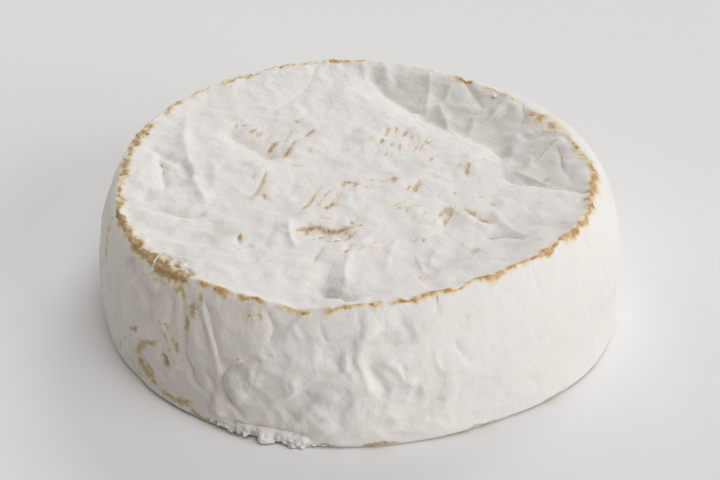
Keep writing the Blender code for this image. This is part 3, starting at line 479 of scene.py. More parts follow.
WALL_HAIRLINES = paths(Hairline,
    (0.6, -119.6, 3.5, -114, 3.2, -108, 3.6, -105.4, 3.5),
    (1, -114.8, 17.6, -116.6, 15, -117.5, 11.8, -117, 9.1, -115.6, 7.2, -113.9, 6, -113, 3.6),
    (1, -122.6, 13.6, -120.4, 12.1, -119.6, 10.4, -120.1, 7.8, -121.3, 5.2, -121.6, 3),
    (0.8, -125.2, 9.8, -123.1, 9, -121.2, 8.1),
    (0.7, -129.6, 27.5, -128.3, 24.2, -127.4, 20.5, -127.1, 16, -126.3, 12.9, -125.4, 11.2, -125.7, 9.2),
    (0.9, -123.6, 28, -121.7, 25.5, -119.7, 22, -118.4, 18, -117.4, 15.4),
    (0.6, -125.2, 27, -123.4, 24.6, -121.6, 22, -120.2, 18.5),
    (0.7, -109, 28.8, -107.6, 27, -107, 25, -107.5, 22), (0.6, -108.4, 20.6, -111.5, 19.2, -114.6, 17.4),
    (0.9, -83, 23.6, -81.2, 23.5, -79.2, 24.3), (0.6, -86, 24, -84.6, 23.2),
    (0.6, -89.2, 31, -88.9, 28, -88.7, 24.8), (0.5, -97, 27.4, -95.7, 23.6),
    (0.6, -80.2, 19.4, -79.7, 17.6, -79, 15.8), (0.5, -94, 20.6, -93, 19.2), (0.6, -65.9, 27, -65.3, 26.2),
    (0.5, -92.8, 8, -92.2, 5), (0.5, -81, 5, -77.5, 8.2, -73, 10.2),
    (0.7, -68.7, 22.5, -68.1, 21, -67, 19.3, -65, 17), (0.5, -47, 31.5, -46.4, 28.4, -46.6, 26),
    (0.6, -50.2, 19, -49.4, 17.2, -48.4, 17.6), (0.4, -51.2, 9.4, -49.4, 7.4, -47.4, 5.6),
    (0.8, -71.4, 32, -71.9, 28.4), (0.5, -72.3, 20.6, -71.5, 17.2), (0.5, -157, 20, -157.2, 16, -156.4, 11),
    (0.5, 99, 26, 97.5, 20, 99, 15), (0.5, 120, 24, 121.4, 16, 119.4, 9))
HAIRLINE_REACH = 1.6

# Fine parallel wrinkles: middle, half length and half width of the patch, the way they run, and how
# strongly they show
Wrinkles = namedtuple("Wrinkles", "x y long wide turn strength")
TOP_WRINKLES = (
    Wrinkles(-43, 3, 9, 10, -38, 1), Wrinkles(-39, 19, 9, 9, -30, 0.9), Wrinkles(-24, 40, 13, 9, -32, 0.8),
    Wrinkles(-4, 38, 12, 12, -60, 0.35), Wrinkles(42, -12, 10, 7, -8, 0.8), Wrinkles(41, 4, 8, 8, 8, 0.6),
    Wrinkles(12, 38, 8, 12, 88, 0.35), Wrinkles(-40, -20, 10, 7, -14, 0.6),
    Wrinkles(10, -40, 16, 6, 2, 0.5), Wrinkles(-18, -38, 13, 6, -25, 0.5),
    Wrinkles(30, -22, 10, 8, 12, 0.4), Wrinkles(-18, -4, 14, 12, 76, 0.35),
    Wrinkles(10, 10, 14, 12, 76, 0.4),
)
WALL_WRINKLES = (
    Wrinkles(-20, 17, 14, 8, 90, 0.5), Wrinkles(-145, 18, 14, 14, 96, 0.5),
    Wrinkles(-100, 16, 12, 22, 70, 0.25), Wrinkles(120, 16, 14, 25, 90, 0.4),
)


def smooth(t):
    t = np.clip(t, 0.0, 1.0)
    return t * t * (3.0 - 2.0 * t)


def turned(bearing, other):
    """The signed angle from one bearing to another, in degrees."""
    return (bearing - other + 180.0) % 360.0 - 180.0


def bell(distance, width):
    return np.exp(-((distance / width) ** 2))


def catmull(p0, p1, p2, p3, t):
    """The point at t between p1 and p2 of a smooth curve through all four."""
    return 0.5 * (2 * p1 + (p2 - p0) * t + (2 * p0 - 5 * p1 + 4 * p2 - p3) * t * t
                  + (3 * p1 - p0 - 3 * p2 + p3) * t * t * t)


def outline(bearing):
    """The wheel's sections at many bearings, as one station of arrays."""
    values = np.array(STATIONS, float)
    place = ((bearing - STATIONS[0].bearing) % 360.0) * len(STATIONS) / 360.0
    first = place.astype(int)
    near = [values[(first + k) % len(STATIONS)] for k in (-1, 0, 1, 2)]
    section = catmull(*near, (place - first)[:, None])
    drop = sum(depth * bell(turned(bearing, dip), half) for dip, half, depth in RIM_DIPS)
    return Station(bearing, section[:, 1], section[:, 2] - drop, section[:, 3], section[:, 4])


def unrolled(bearing, height):
    """Places on the wall as if it were laid out flat: arc length at the belly, and height."""
    belly = sum(s.belly_radius for s in STATIONS) / len(STATIONS)
    return np.stack([np.radians(bearing) * belly, np.asarray(height, float) + 0 * np.asarray(bearing)], -1)


def noise_at(places, size, seed=0.0):
    """Smooth noise at places given as rows of three numbers, with features of about one size."""
    return np.array([noise.noise(Vector(p)) for p in (places / size + seed).tolist()])


def cracks_at(places, size):
    """0 in the middle of the cells of an irregular net, rising to 1 at their edges."""
    gaps = (noise.voronoi(Vector(p))[0] for p in (places / size).tolist())
    return np.array([1.0 - min(1.0, 2.5 * (gap[1] - gap[0])) for gap in gaps])


def smooth_path(points):
    """Points close together on a smooth curve through the given ones."""
    knots = [np.array(p, float) for p in points]
    knots = [2 * knots[0] - knots[1], *knots, 2 * knots[-1] - knots[-2]]
    path = []
    for k in range(len(knots) - 3):
        path += [catmull(*knots[k:k + 4], step / FOLD_STEPS) for step in range(FOLD_STEPS)]
    return np.array([*path, knots[-2]])


def nearest(path, places):
    """Signed distances from a path, positive to the left of its direction, and the share of it passed."""
    best = np.full(len(places), np.inf)
    signed = np.full(len(places), np.inf)
    along = np.zeros(len(places))
    for k in range(len(path) - 1):
        run = path[k + 1] - path[k]
        away = places - path[k]
        share = np.clip(away @ run / (run @ run), 0.0, 1.0)
        away = away - share[:, None] * run
        gap = np.hypot(away[:, 0], away[:, 1])
        side = np.where(run[0] * away[:, 1] - run[1] * away[:, 0] >= 0, 1.0, -1.0)
        nearer = gap < best
        best = np.where(nearer, gap, best)
        signed = np.where(nearer, side * gap, signed)
        along = np.where(nearer, (k + share) / (len(path) - 1), along)
    return signed, along


def near_box(path, places, reach):
    low, high = path.min(0) - reach, path.max(0) + reach
    return np.nonzero(((places > low) & (places < high)).all(1))[0]


def fold_relief(folds, places, path_of):
    """The summed height of the folds at places on the laid-out surface."""
    relief = np.zeros(len(places))
    for fold in folds:
        path = path_of(fold)
        some = near_box(path, places, 4.0 * max(fold.left, fold.right))
        signed, along = nearest(path, places[some])
        width = np.where(signed > 0, fold.left, fold.right)
        fade = smooth(along / FOLD_FADE) * smooth((1.0 - along) / FOLD_FADE)
        if fold.shape == "bank":
            section = np.maximum(1.0 - abs(signed) / width, 0.0) ** BANK_POWER
        elif fold.shape == "sharp":
            section = np.exp(-(np.hypot(signed, CREASE_ROUNDING) - CREASE_ROUNDING) / (0.7 * width))
        else:
            section = bell(signed, width)
        relief[some] += fold.height * fade * section
    return relief


def top_path(line):
    return smooth_path(line.points)


def wall_path(line):
    return smooth_path([unrolled(*p) for p in line.points])


def lump_relief(lumps, places):
    return sum(depth * bell(np.hypot(*(places - middle).T), radius) for middle, radius, depth in lumps)


def hairlines_at(lines, places, path_of):
    """The signed distance from the nearest hairline, and how strongly it shows."""
    signed = np.full(len(places), HAIRLINE_REACH)
    strength = np.zeros(len(places))
    for line in lines:
        path = path_of(line)
        some = near_box(path, places, HAIRLINE_REACH)
        gap, along = nearest(path, places[some])
        ends = smooth(4 * along * (1 - along) + 0.25)
        shows = line.tone * np.clip(1.0 - abs(gap) / HAIRLINE_REACH, 0, 1) * ends
        stronger = shows > strength[some]
        signed[some] = np.where(stronger, gap, signed[some])
        strength[some] = np.maximum(strength[some], shows)
    return signed, strength


def oval(places, x, y, long, wide, turn):
    """Where places lie along and across an oval, and how far inside it: 1 in its middle, 0 at its edge."""
    turn = math.radians(turn)
    away = places - (x, y)
    along = away @ np.array((math.cos(turn), math.sin(turn)))
    across = away @ np.array((-math.sin(turn), math.cos(turn)))
    return along, across, 1.0 - np.hypot(along / long, across / wide)


def wrinkles_at(patches, places):
    """Where each place lies across and along the patch of wrinkles that shows most, and how strongly."""
    across, along, strength = (np.zeros(len(places)) for _ in range(3))
    for number, patch in enumerate(patches):
        run, side, inside = oval(places, *patch[:-1])
        shows = patch.strength * smooth(1.6 * inside)
        stronger = shows > strength
        across = np.where(stronger, side + 100.0 * number, across)
        along = np.where(stronger, run, along)
        strength = np.maximum(strength, shows)
    return across, along, strength


def strokes_at(strokes, places, path_of):
    """How strongly the strokes show at each place: fully in the middle of one, fading to 0 at its width."""
    shown = np.zeros(len(places))
    for stroke in strokes:
        path = path_of(stroke)
        some = near_box(path, places, stroke.width)
        gap, along = nearest(path, places[some])
        ends = smooth(5.0 * along) * smooth(5.0 * (1.0 - along)) * 0.4 + 0.6
        shows = stroke.tone * ends * np.clip(1.0 - abs(gap) / stroke.width, 0, 1)
        shown[some] = np.maximum(shown[some], shows)
    return shown


def patches_at(patches, places, shown):
    """What is shown at each place already, with some soft oval patches added."""
    for *shape, strength in patches:
        shown = shown + strength * smooth(1.8 * oval(places, *shape)[2])
    return shown


def torn_at(places):
    """How deep and how brown the torn spots of the top are at each place."""
    deep, brown = np.zeros(len(places)), np.zeros(len(places))
    for *shape, depth, tone in TORN:
        inside = smooth(1.5 * oval(places, *shape)[2])
        deep = np.maximum(deep, depth * inside)
        brown = np.maximum(brown, tone * inside)
    return deep, brown


def crust_at(bearing, from_rim):
    """How much crust shows, at a distance inside the rim's edge (on the wall below it if negative)."""
    turn = np.radians(bearing)
    circle = np.stack([np.cos(turn), np.sin(turn), np.zeros(len(turn))], -1) * STATIONS[0].rim_radius
    wander = 0.9 * noise_at(circle, 4.5, 3.3) + 0.45 * noise_at(circle, 1.7, 9.1)
    swell = 1.0 + 0.9 * noise_at(circle, 5.5, 21.7) + 0.7 * noise_at(circle, 1.6, 14.2)
    shown = np.zeros(len(bearing))
    for part in CRUST:
        middle, half = (part.first + part.last) / 2, (part.last - part.first) / 2
        inward = half + CRUST_EDGE - abs(turned(bearing, middle))
        whole = part.wholeness * smooth(inward / (2 * CRUST_EDGE))
        width = part.width * np.clip(swell, 0.45, 1.8)
        gap = abs(from_rim - part.inset - wander)
        shown = np.maximum(shown, whole * np.clip(1.25 - 0.75 * gap / width, 0, 1))
    return shown


def wall_radius(section, height):
    """The radius of the smooth wall at a height: a belly that draws in towards the rim and the base."""
    inward = (np.clip(BELLY_HEIGHT - height, 0, None) / BELLY_HEIGHT) ** WALL_POWER
    corner = np.maximum(BASE_EDGE_RADIUS - height, 0.0)
    low = section.belly_radius - (section.belly_radius - section.base_radius) * inward
    low += np.sqrt(BASE_EDGE_RADIUS ** 2 - corner ** 2) - BASE_EDGE_RADIUS
    roundness = bell(turned(section.bearing, SHOULDER_BEARING), SHOULDER_SPREAD)
    power = WALL_POWER + (SHOULDER_POWER - WALL_POWER) * roundness
    rise = np.clip((height - BELLY_HEIGHT) / (section.rim_height - BELLY_HEIGHT), 0, 1)
    bulge = (1.0 - rise ** power) ** (1.0 / (1.0 + roundness))
    high = section.rim_radius + (section.belly_radius - section.rim_radius) * bulge
    return np.where(height < BELLY_HEIGHT, low, high)


def wall_patches(patches):
    return [(*unrolled(bearing, height), *rest) for bearing, height, *rest in patches]


def in_space(bearing, radius, height):
    turn = np.radians(bearing)
    return np.stack([radius * np.cos(turn), radius * np.sin(turn), height + 0 * radius], -1)


def ragged(bearing, radius, offset):
    return noise_at(in_space(bearing, radius, 0 * bearing + offset), RAG_SIZE)


def waver(places):
    """Places shifted a little by noise, so that the folds drawn at them aren't too smooth."""
    flat = np.column_stack([places, np.zeros(len(places))])
    shift = np.stack([noise_at(flat, FOLD_WAVER_SIZE, 5.5), noise_at(flat, FOLD_WAVER_SIZE, 31.5)], -1)
    return places + FOLD_WAVER * shift


Surface = namedtuple("Surface", "points crust mark stain thin hair hair_strength wrinkle")


def top_surface(share, bearing):
    """The top's points, and what shows at each of them."""
    section = outline(bearing)
    radius = share * section.rim_radius
    from_rim = section.rim_radius - radius
    flat = in_space(bearing, radius, 0 * radius)[:, :2]
    wavy = waver(flat)
    solid = np.column_stack([flat, np.zeros(len(flat))])
    inside = smooth(from_rim / RAG_SIZE)
    torn, torn_brown = torn_at(wavy)
    mark = strokes_at(TOP_STROKES, flat, top_path)
    relief = fold_relief(TOP_FOLDS, wavy, top_path)
    relief += lump_relief([((x, y), radius, depth) for x, y, radius, depth in TOP_LUMPS], flat)
    relief += SWELL_HEIGHT * noise_at(solid, SWELL_SIZE) + ROLL_HEIGHT * noise_at(solid, ROLL_SIZE, 3.9)
    relief += NUB_HEIGHT * noise_at(solid, NUB_SIZE, 7.7)
    creasing = cracks_at(solid + 40.0, CREASING_SIZE) * noise_at(solid, TOP_CREASING_SIZE, 8.8)
    relief += TOP_CREASING * CREASING_HEIGHT * creasing
    relief -= torn * (0.7 - 0.9 * noise_at(solid, 1.5, 2.2)) + MARK_DEPTH * mark
    height = CENTRE_HEIGHT + (section.rim_height - CENTRE_HEIGHT) * np.exp(-from_rim / LIP_WIDTH)
    height += inside * relief + (1.0 - inside) * RAG_HEIGHT * ragged(bearing, section.rim_radius, 0.0)
    crust = np.maximum(crust_at(bearing, from_rim), torn_brown * (0.75 + 0.6 * noise_at(solid, 1.6, 4.4)))
    hair, hair_strength = hairlines_at(TOP_HAIRLINES, wavy, top_path)
    past_edge = nearest(smooth_path(THIN_AND_SHADE_EDGE), wavy)[0]
    # Painted shade and thin mould: greyer behind the thin edge and in the patches
    thin = THIN_AND_SHADE_PART * smooth(0.25 + past_edge / 2.0) * smooth(from_rim / 4.0)
    thin = patches_at(THIN_AND_SHADE_PATCHES, wavy, thin)
    return Surface(np.column_stack([flat, height]), crust, mark, np.zeros(len(flat)), thin,
                   hair, hair_strength, wrinkles_at(TOP_WRINKLES, flat))


def wall_surface(row_share, bearing):
    """The wall's points, and what shows at each of them."""
    section = outline(bearing)
    down = row_share - ROW_CROWDING * np.sin(2 * np.pi * row_share) / (2 * np.pi)
    height = section.rim_height * (1.0 - down)
    below_rim = section.rim_height - height
    ends = smooth(below_rim / RAG_SIZE) * smooth(height / BASE_EDGE_RADIUS)
    laid_out = unrolled(bearing, height)
    wavy = waver(laid_out)
    solid = in_space(bearing, 0 * bearing + STATIONS[0].belly_radius, height)
    strength = CRUMPLE_FLOOR + (1.0 - CRUMPLE_FLOOR) * bell(turned(bearing, CRUMPLE_BEARING), CRUMPLE_SPREAD)
    relief = WALL_FOLD_SHARE * fold_relief(WALL_FOLDS, wavy, wall_path)
    relief += lump_relief([(unrolled(b, h), radius, depth) for b, h, radius, depth in WALL_LUMPS], laid_out)
    relief += CRUMPLE_HEIGHT * strength * noise_at(solid, CRUMPLE_SIZE)
    relief += strength * CREASING_HEIGHT * (cracks_at(solid, CREASING_SIZE) - 0.3)
    stain = strokes_at(WALL_STROKES, wavy, wall_path)
    relief -= MARK_DEPTH * stain
    radius = wall_radius(section, height) + ends * relief
    at_rim = 1.0 - smooth(below_rim / RAG_SIZE)
    radius += at_rim * RAG_HEIGHT * ragged(bearing, section.rim_radius, RAG_SIZE)
    hair, hair_strength = hairlines_at(WALL_HAIRLINES, wavy, wall_path)
    patches = [p._replace(x=unrolled(p.x, 0)[0]) for p in WALL_WRINKLES]
    none = np.zeros(len(radius))
    # Painted shade in the wall's hollows and folds
    thin = patches_at(wall_patches(WALL_SHADE_PATCHES), wavy, none)
    return Surface(in_space(bearing, radius, height), crust_at(bearing, -below_rim), none, stain, thin,
                   hair, hair_strength, wrinkles_at(patches, laid_out))


def base_surface(share, bearing):
    """The flat underside, with the same mat marks as the top in fainter rows."""
    section = outline(bearing)
    radius = share * (section.base_radius - BASE_EDGE_RADIUS)
    points = in_space(bearing, radius, 0 * radius)
    none = np.zeros(len(radius))
    mark = 0.8 * strokes_at(TOP_STROKES, points[:, [1, 0]], top_path)
    return Surface(points, none, mark, none, none, none + HAIRLINE_REACH, none, (none, none, none))


def disc_places(rings):
    """The points of a square grid mapped to a disc: each one's share of the radius, and its bearing."""
    side = np.linspace(-1.0, 1.0, 2 * rings + 1)
    x, y = (a.ravel() for a in np.meshgrid(side, side, indexing="ij"))
    share = np.maximum(abs(x), abs(y))
    upright = abs(x) < abs(y)
    over = np.where(upright, y, np.where(x == 0, 1.0, x))
    lean = np.where(upright, -x, y) / over
    quarter = np.where(upright, np.where(y > 0, 90.0, 270.0), np.where(x > 0, 0.0, 180.0))
    return share, turned(quarter + 45.0 * lean, 0.0)


def disc_faces(rings):
    """The quads of the same grid, facing up, and the loop of its edge in order of bearing."""
    across = 2 * rings + 1
    cell = (np.arange(2 * rings)[:, None] * across + np.arange(2 * rings)).ravel()
    faces = np.stack([cell, cell + across, cell + across + 1, cell + 1], -1)
    share, bearing = disc_places(rings)
    edge = np.nonzero(share == 1.0)[0]
    return faces, edge[np.argsort(bearing[edge] % 360.0)]


def band_faces(upper, lower):
    return np.stack([upper, lower, np.roll(lower, -1), np.roll(upper, -1)], -1)


def rind_layout():
    """Every point's surface, and the faces that join them into one closed skin."""
    share, bearing = disc_places(TOP_RINGS)
    faces, loop = disc_faces(TOP_RINGS)
    edge_bearing = bearing[loop]
    surfaces = [top_surface(share, bearing)]
    faces = faces.tolist()
    count = len(share)
    for row in range(1, WALL_ROWS + 1 + len(BASE_SHARES)):
        lower = count + np.arange(len(loop))
        faces += band_faces(loop, lower).tolist()
        loop, count = lower, count + len(loop)
    rows = np.repeat(np.arange(1, WALL_ROWS + 1) / WALL_ROWS, len(loop))
    surfaces.append(wall_surface(rows, np.tile(edge_bearing, WALL_ROWS)))
    surfaces.append(base_surface(np.repeat(BASE_SHARES, len(loop)), np.tile(edge_bearing, len(BASE_SHARES))))
    share, bearing = disc_places(BASE_RINGS)
    inner_faces, inner_loop = disc_faces(BASE_RINGS)
    surfaces.append(base_surface(share * (2 * BASE_SHARES[-1] - BASE_SHARES[0]), bearing))
    inner_loop = inner_loop + count
    step = COLUMNS_PER_BASE_COLUMN
    for k in range(len(inner_loop)):
        outer = [int(loop[(step * k + j) % len(loop)]) for j in range(step, 0, -1)]
        after = inner_loop[(k + 1) % len(inner_loop)]
        faces.append([int(loop[step * k]), int(inner_loop[k]), int(after), *outer])
    faces += (inner_faces[:, ::-1] + count).tolist()
    return surfaces, faces


def joined(surfaces, name):
    return np.concatenate([getattr(s, name) for s in surfaces])


def linked(name, data):
    piece = bpy.data.objects.new(name, data)
    bpy.context.scene.collection.objects.link(piece)
    return piece


def add_values(mesh, name, values):
    mesh.attributes.new(name, "FLOAT", "POINT").data.foreach_set("value", values.astype(np.float32))


def roughened(points, normals, crust, stain):
    """The points moved a little along their normals: soft lumps of mould, and crumbs on the crust."""
    lumps = FUZZ_HEIGHT * (noise_at(points, FUZZ_SIZE, 1.5) + noise_at(points, 2.7 * FUZZ_SIZE, 6.5))
    crumbs = CRUST_RELIEF * smooth(1.5 * crust) * (0.25 + 1.6 * noise_at(points, CRUST_GRAIN, 12.5))
    worn = 0.25 * stain * noise_at(points, CRUST_GRAIN, 17.5)
    standing = smooth(points[:, 2] / BASE_EDGE_RADIUS)
    return points + normals * ((lumps + crumbs + worn) * standing)[:, None]


def rind():
    surfaces, faces = rind_layout()
    points = joined(surfaces, "points")
    crust, stain = joined(surfaces, "crust"), joined(surfaces, "stain")
    mesh = bpy.data.meshes.new("rind")
    mesh.from_pydata(points, [], faces)
    normals = np.zeros(3 * len(points))
    mesh.vertex_normals.foreach_get("vector", normals)
    points = roughened(points, normals.reshape(-1, 3), crust, stain)
    points[:, 2] = np.maximum(points[:, 2], 0.0)
    mesh.vertices.foreach_set("co", (points * MM).ravel())
    mesh.update()
    mesh.validate()
    mesh.shade_smooth()
    for name in ("crust", "mark", "stain", "thin", "hair", "hair_strength"):
        add_values(mesh, name, joined(surfaces, name))
    across, along, strength = (np.concatenate(a) for a in zip(*(s.wrinkle for s in surfaces)))
    for name, values in (("wrinkle_across", across), ("wrinkle_along", along), ("wrinkle", strength)):
        add_values(mesh, name, values)
    return linked("rind", mesh)


def slab(outer, inner):
    """The points and faces of a closed slab between two grids of points."""
    rows, across = outer.shape[:2]
    below = rows * across
    number = np.arange(below).reshape(rows, across)
    corners = [number[:-1, :-1], number[:-1, 1:], number[1:, 1:], number[1:, :-1]]
    quads = np.stack([c.ravel() for c in corners], -1)
    rim = [*number[0, :-1], *number[:-1, -1], *number[-1, :0:-1], *number[:0:-1, 0]]
    sides = [[after, here, here + below, after + below] for here, after in zip(rim, [*rim[1:], rim[0]])]
    points = np.concatenate([outer.reshape(-1, 3), inner.reshape(-1, 3)])
    return points, quads.tolist() + (quads[:, ::-1] + below).tolist() + sides


def plate_points(plate):
    """A torn plate's outer and inner grids of points, and how much crust shows at its edges."""
    belly = STATIONS[0].belly_radius
    steps = max(4, round(math.radians(plate.last - plate.first) * belly / PLATE_STEP))
    shares = [np.linspace(0, 1, n + 1) for n in (steps, PLATE_ROWS)]
    u, v = (a.ravel() for a in np.meshgrid(*shares, indexing="ij"))
    bearing = plate.first + u * (plate.last - plate.first)
    place = in_space(bearing, 0 * u + belly, 0 * u)
    corner = 1.0 - 0.7 * abs(2 * u - 1) ** 3
    ragged_edge = 0.8 * noise_at(place, 0.8, 6.1) + 0.9 * noise_at(place, 1.9, 3.7)
    length = (0.95 + ragged_edge + 0.4 * noise_at(place, 4.0, 5.2)) * corner
    fall = v * np.clip(length, 0.15, 1.05)
    height = np.maximum(plate.height - plate.hang * fall ** 1.25, 0.06)
    skin = in_space(bearing, 0 * u + belly, 5 * fall)
    lumps = 1.1 * noise_at(skin, 1.5, 8.3) + 0.8 * noise_at(skin, 0.7, 4.6)
    side = np.sin(np.pi * np.clip(u, 0.0, 1.0)) ** 0.4
    out = plate.reach * side * np.sin(fall * math.pi / 2) * (0.8 + 0.9 * noise_at(place, 2.4, 2.9))
    out += lumps * fall
    root = wall_radius(outline(bearing), height) - PLATE_SINK
    outer = in_space(bearing, root + out, height)
    inner = in_space(bearing, root + out - PLATE_THICKNESS * (0.5 + side), np.maximum(height - 0.15, 0.02))
    edge = smooth(1.0 - 4.0 * np.minimum(u, 1 - u)) * bell(v - 0.6, 0.5)
    edge *= smooth(0.5 + noise_at(place, 1.2, 9.9))
    grid = (steps + 1, PLATE_ROWS + 1, 3)
    return outer.reshape(grid), inner.reshape(grid), 0.55 * edge


def ribbon_points(ribbon):
    """A standing ribbon's front and back grids of points."""
    path = smooth_path(ribbon.points)
    run = np.gradient(path, axis=0)
    side = np.stack([run[:, 1], -run[:, 0], 0 * run[:, 0]], -1)
    side /= np.linalg.norm(side, axis=1)[:, None]
    ends = np.sin(np.linspace(0.12, 1, len(path)) * np.linspace(1, 0.88, len(path)) * math.pi) ** 0.6
    grids = []
    for offset in (0.5, -0.5):
        rows = []
        for share in np.linspace(1, 0, RIBBON_ROWS + 1):
            curl = 0.5 * share ** 2 * ribbon.width
            lift = np.array((0, 0, 1.0)) * (share * ribbon.width * ends)[:, None]
            rows.append(path + lift + side * (offset * RIBBON_THICKNESS * (1.1 - 0.5 * share) + curl))
        grids.append(np.stack(rows, 1))
    return grids[0], grids[1]


def ball(middle, radius, seed):
    """A lumpy ball of about the given radius: its points and faces."""
    rings, around = 8, 12
    tilt = np.repeat(np.linspace(0, math.pi, rings + 1)[1:-1], around)
    turn = np.tile(np.arange(around) * 2 * math.pi / around, rings - 1)
    points = np.stack([np.sin(tilt) * np.cos(turn), np.sin(tilt) * np.sin(turn), np.cos(tilt)], -1)
    points = np.concatenate([points, [(0, 0, 1), (0, 0, -1)]])
    points *= (radius * (0.9 + 0.5 * noise_at(points + 10.0 * seed, 1.1)))[:, None] * np.array((1, 1, 0.6))
    faces = []
    for k in range(rings - 2):
        upper = k * around + np.arange(around)
        faces += band_faces(upper, upper + around).tolist()
    top, last = (rings - 1) * around, (rings - 2) * around
    faces += [[top, k, (k + 1) % around] for k in range(around)]
    faces += [[top + 1, last + (k + 1) % around, last + k] for k in range(around)]
    return points + np.array(middle), faces


def torn_rind():
    """The loose plates at the foot, and the ribbons and lumps at the broken rim."""
    shapes = []
    for plate in FOOT_PLATES:
        outer, inner, brown = plate_points(plate)
        shapes.append((*slab(outer, inner), [*brown, *brown]))
    for ribbon in RIM_RIBBONS:
        made, joins = slab(*ribbon_points(ribbon))
        shapes.append((made, joins, [0.0] * len(made)))
    for number, (*middle, radius, brown) in enumerate(RIM_CHUNKS):
        made, joins = ball(middle, radius, number)
        shapes.append((made, joins, [brown] * len(made)))
    points, faces, crust = [], [], []
    for made, joins, brown in shapes:
        faces += [[len(crust) + k for k in face] for face in joins]
        points.append(made)
        crust += brown
    mesh = bpy.data.meshes.new("torn_rind")
    mesh.from_pydata(np.concatenate(points) * MM, [], faces)
    mesh.validate()
    mesh.shade_smooth()
    add_values(mesh, "crust", np.array(crust))
    return linked("torn_rind", mesh)


class Level:
    """A number that a material's nodes work out. Levels add, subtract and multiply as plain numbers do."""

    def __init__(self, finish, socket):
        self.finish, self.socket = finish, socket

    def __add__(self, other):
        return self.finish.math("ADD", self, other)

    def __sub__(self, other):
        return self.finish.math("SUBTRACT", self, other)

    def __rsub__(self, other):
        return self.finish.math("SUBTRACT", other, self)

    def __mul__(self, other):
        return self.finish.math("MULTIPLY", self, other)

    def step(self, low, high):
        """0 below the first level and 1 above the second, smooth between."""
        inputs = {"Value": self, "From Min": low, "From Max": high}
        made = self.finish.node("ShaderNodeMapRange", inputs, interpolation_type="SMOOTHSTEP")
        return Level(self.finish, made.outputs["Result"])


class Finish:
    """A material whose nodes are added one at a time. Sizes are in millimetres on the object."""

    def __init__(self, name):
        self.material = bpy.data.materials.new(name)
        self.material.use_nodes = True
        self.tree = self.material.node_tree
        self.surface = self.tree.nodes["Principled BSDF"]
        place = self.node("ShaderNodeTexCoord").outputs["Object"]
        self.place = self.vector("SCALE", {0: place, "Scale": 1.0 / MM})

    def node(self, kind, inputs=None, **settings):
        made = self.tree.nodes.new(kind)
        for name, value in settings.items():
            setattr(made, name, value)
        for name, value in (inputs or {}).items():
            self.feed(made.inputs[name], value)
        return made

    def feed(self, socket, value):
        if isinstance(value, Level):
            value = value.socket
        if isinstance(value, bpy.types.NodeSocket):
            self.tree.links.new(value, socket)
        else:
            socket.default_value = value

    def math(self, operation, a, b=0.0):
        return Level(self, self.node("ShaderNodeMath", {0: a, 1: b}, operation=operation).outputs[0])

    def vector(self, operation, inputs):
        return self.node("ShaderNodeVectorMath", inputs, operation=operation).outputs[0]

    def value(self, name):
        return Level(self, self.node("ShaderNodeAttribute", attribute_name=name).outputs["Fac"])

    def noise(self, size, detail=2.0, roughness=0.5, place=None, bend=0.0):
        """Noise about 0, from roughly -1 to 1."""
        inputs = {"Vector": place or self.place, "Scale": 1.0 / size, "Detail": detail,
                  "Roughness": roughness, "Distortion": bend}
        return (Level(self, self.node("ShaderNodeTexNoise", inputs).outputs["Fac"]) - 0.5) * 3.0

    def mix(self, share, first, second):
        made = self.node("ShaderNodeMix", {"Factor": share}, data_type="RGBA")
        for socket, colour in ((made.inputs[6], first), (made.inputs[7], second)):
            self.feed(socket, (*colour, 1.0) if isinstance(colour, tuple) else colour)
        return made.outputs[2]

    def bump(self, height, depth):
        """Relief from a height of about 0 to 1, as deep as the given number of millimetres."""
        made = self.node("ShaderNodeBump", {"Height": height, "Distance": depth * MM})
        self.feed(self.surface.inputs["Normal"], made.outputs["Normal"])


MOULD = (0.80, 0.768, 0.742)
# The grey of thin mould, also used as painted shade
MOULD_THIN_AND_SHADED = (0.64, 0.608, 0.575)
MOULD_CREAM = (0.81, 0.765, 0.68)
CRUST_TAN = (0.71, 0.475, 0.235)
CRUST_BROWN = (0.46, 0.235, 0.08)
# The crust's dark brown, also used as painted shade of its pits
CRUST_DARK_AND_PIT_SHADE = (0.24, 0.14, 0.06)
CRUST_OLIVE = (0.36, 0.26, 0.12)
MARK_TAN = (0.60, 0.465, 0.30)
MARK_BROWN = (0.37, 0.265, 0.145)
MARK_DARK = (0.16, 0.10, 0.05)
HALO = (0.80, 0.68, 0.49)
STAIN_TAN = (0.50, 0.40, 0.22)
# Painted shade of creases, partly their grime
CREASE_SHADE_AND_GRIME = (0.40, 0.33, 0.25)
# Painted shade for the wall's shaded left
WALL_SHADE_GREY = (0.685, 0.63, 0.58)

# Where tones begin and where they are full, as heights or as x
WALL_TONES = (30.5, 27.0)
SHADED_LEFT_PART = (2.0, -32.0)
OLIVE_PART = (-20.0, -36.0)

# The fibres of the mould and the fine wrinkles are noise drawn out along one way; crumpled skin is a net of
# creases in two sizes, each with its depth, at places shifted by a wobble
FIBRE_SIZE = 0.7
FIBRE_STRETCH = 4.5
WRINKLE_SIZE = 1.3
WRINKLE_SQUEEZE = 0.22
WOBBLE = 3.0
CRUMPLE_NETS = ((6.5, 1.0), (3.2, 0.45))

# The relief that only the light shows: its depth, and the shares that its parts have in it
SKIN_DEPTH = 0.45
WRINKLE_SHARE = 0.34
HAIRLINE_SHARE = -0.35
CRUST_SHARE = 0.3
CRUMPLE_SHARE = 0.28
FIBRE_SHARE = 0.26
SKIN = (
    ("Roughness", 0.85), ("IOR", 1.4), ("Sheen Weight", 0.25), ("Sheen Roughness", 0.6),
    ("Subsurface Weight", 0.25), ("Subsurface Scale", 0.0012), ("Subsurface Radius", (1.0, 0.75, 0.5)),
)


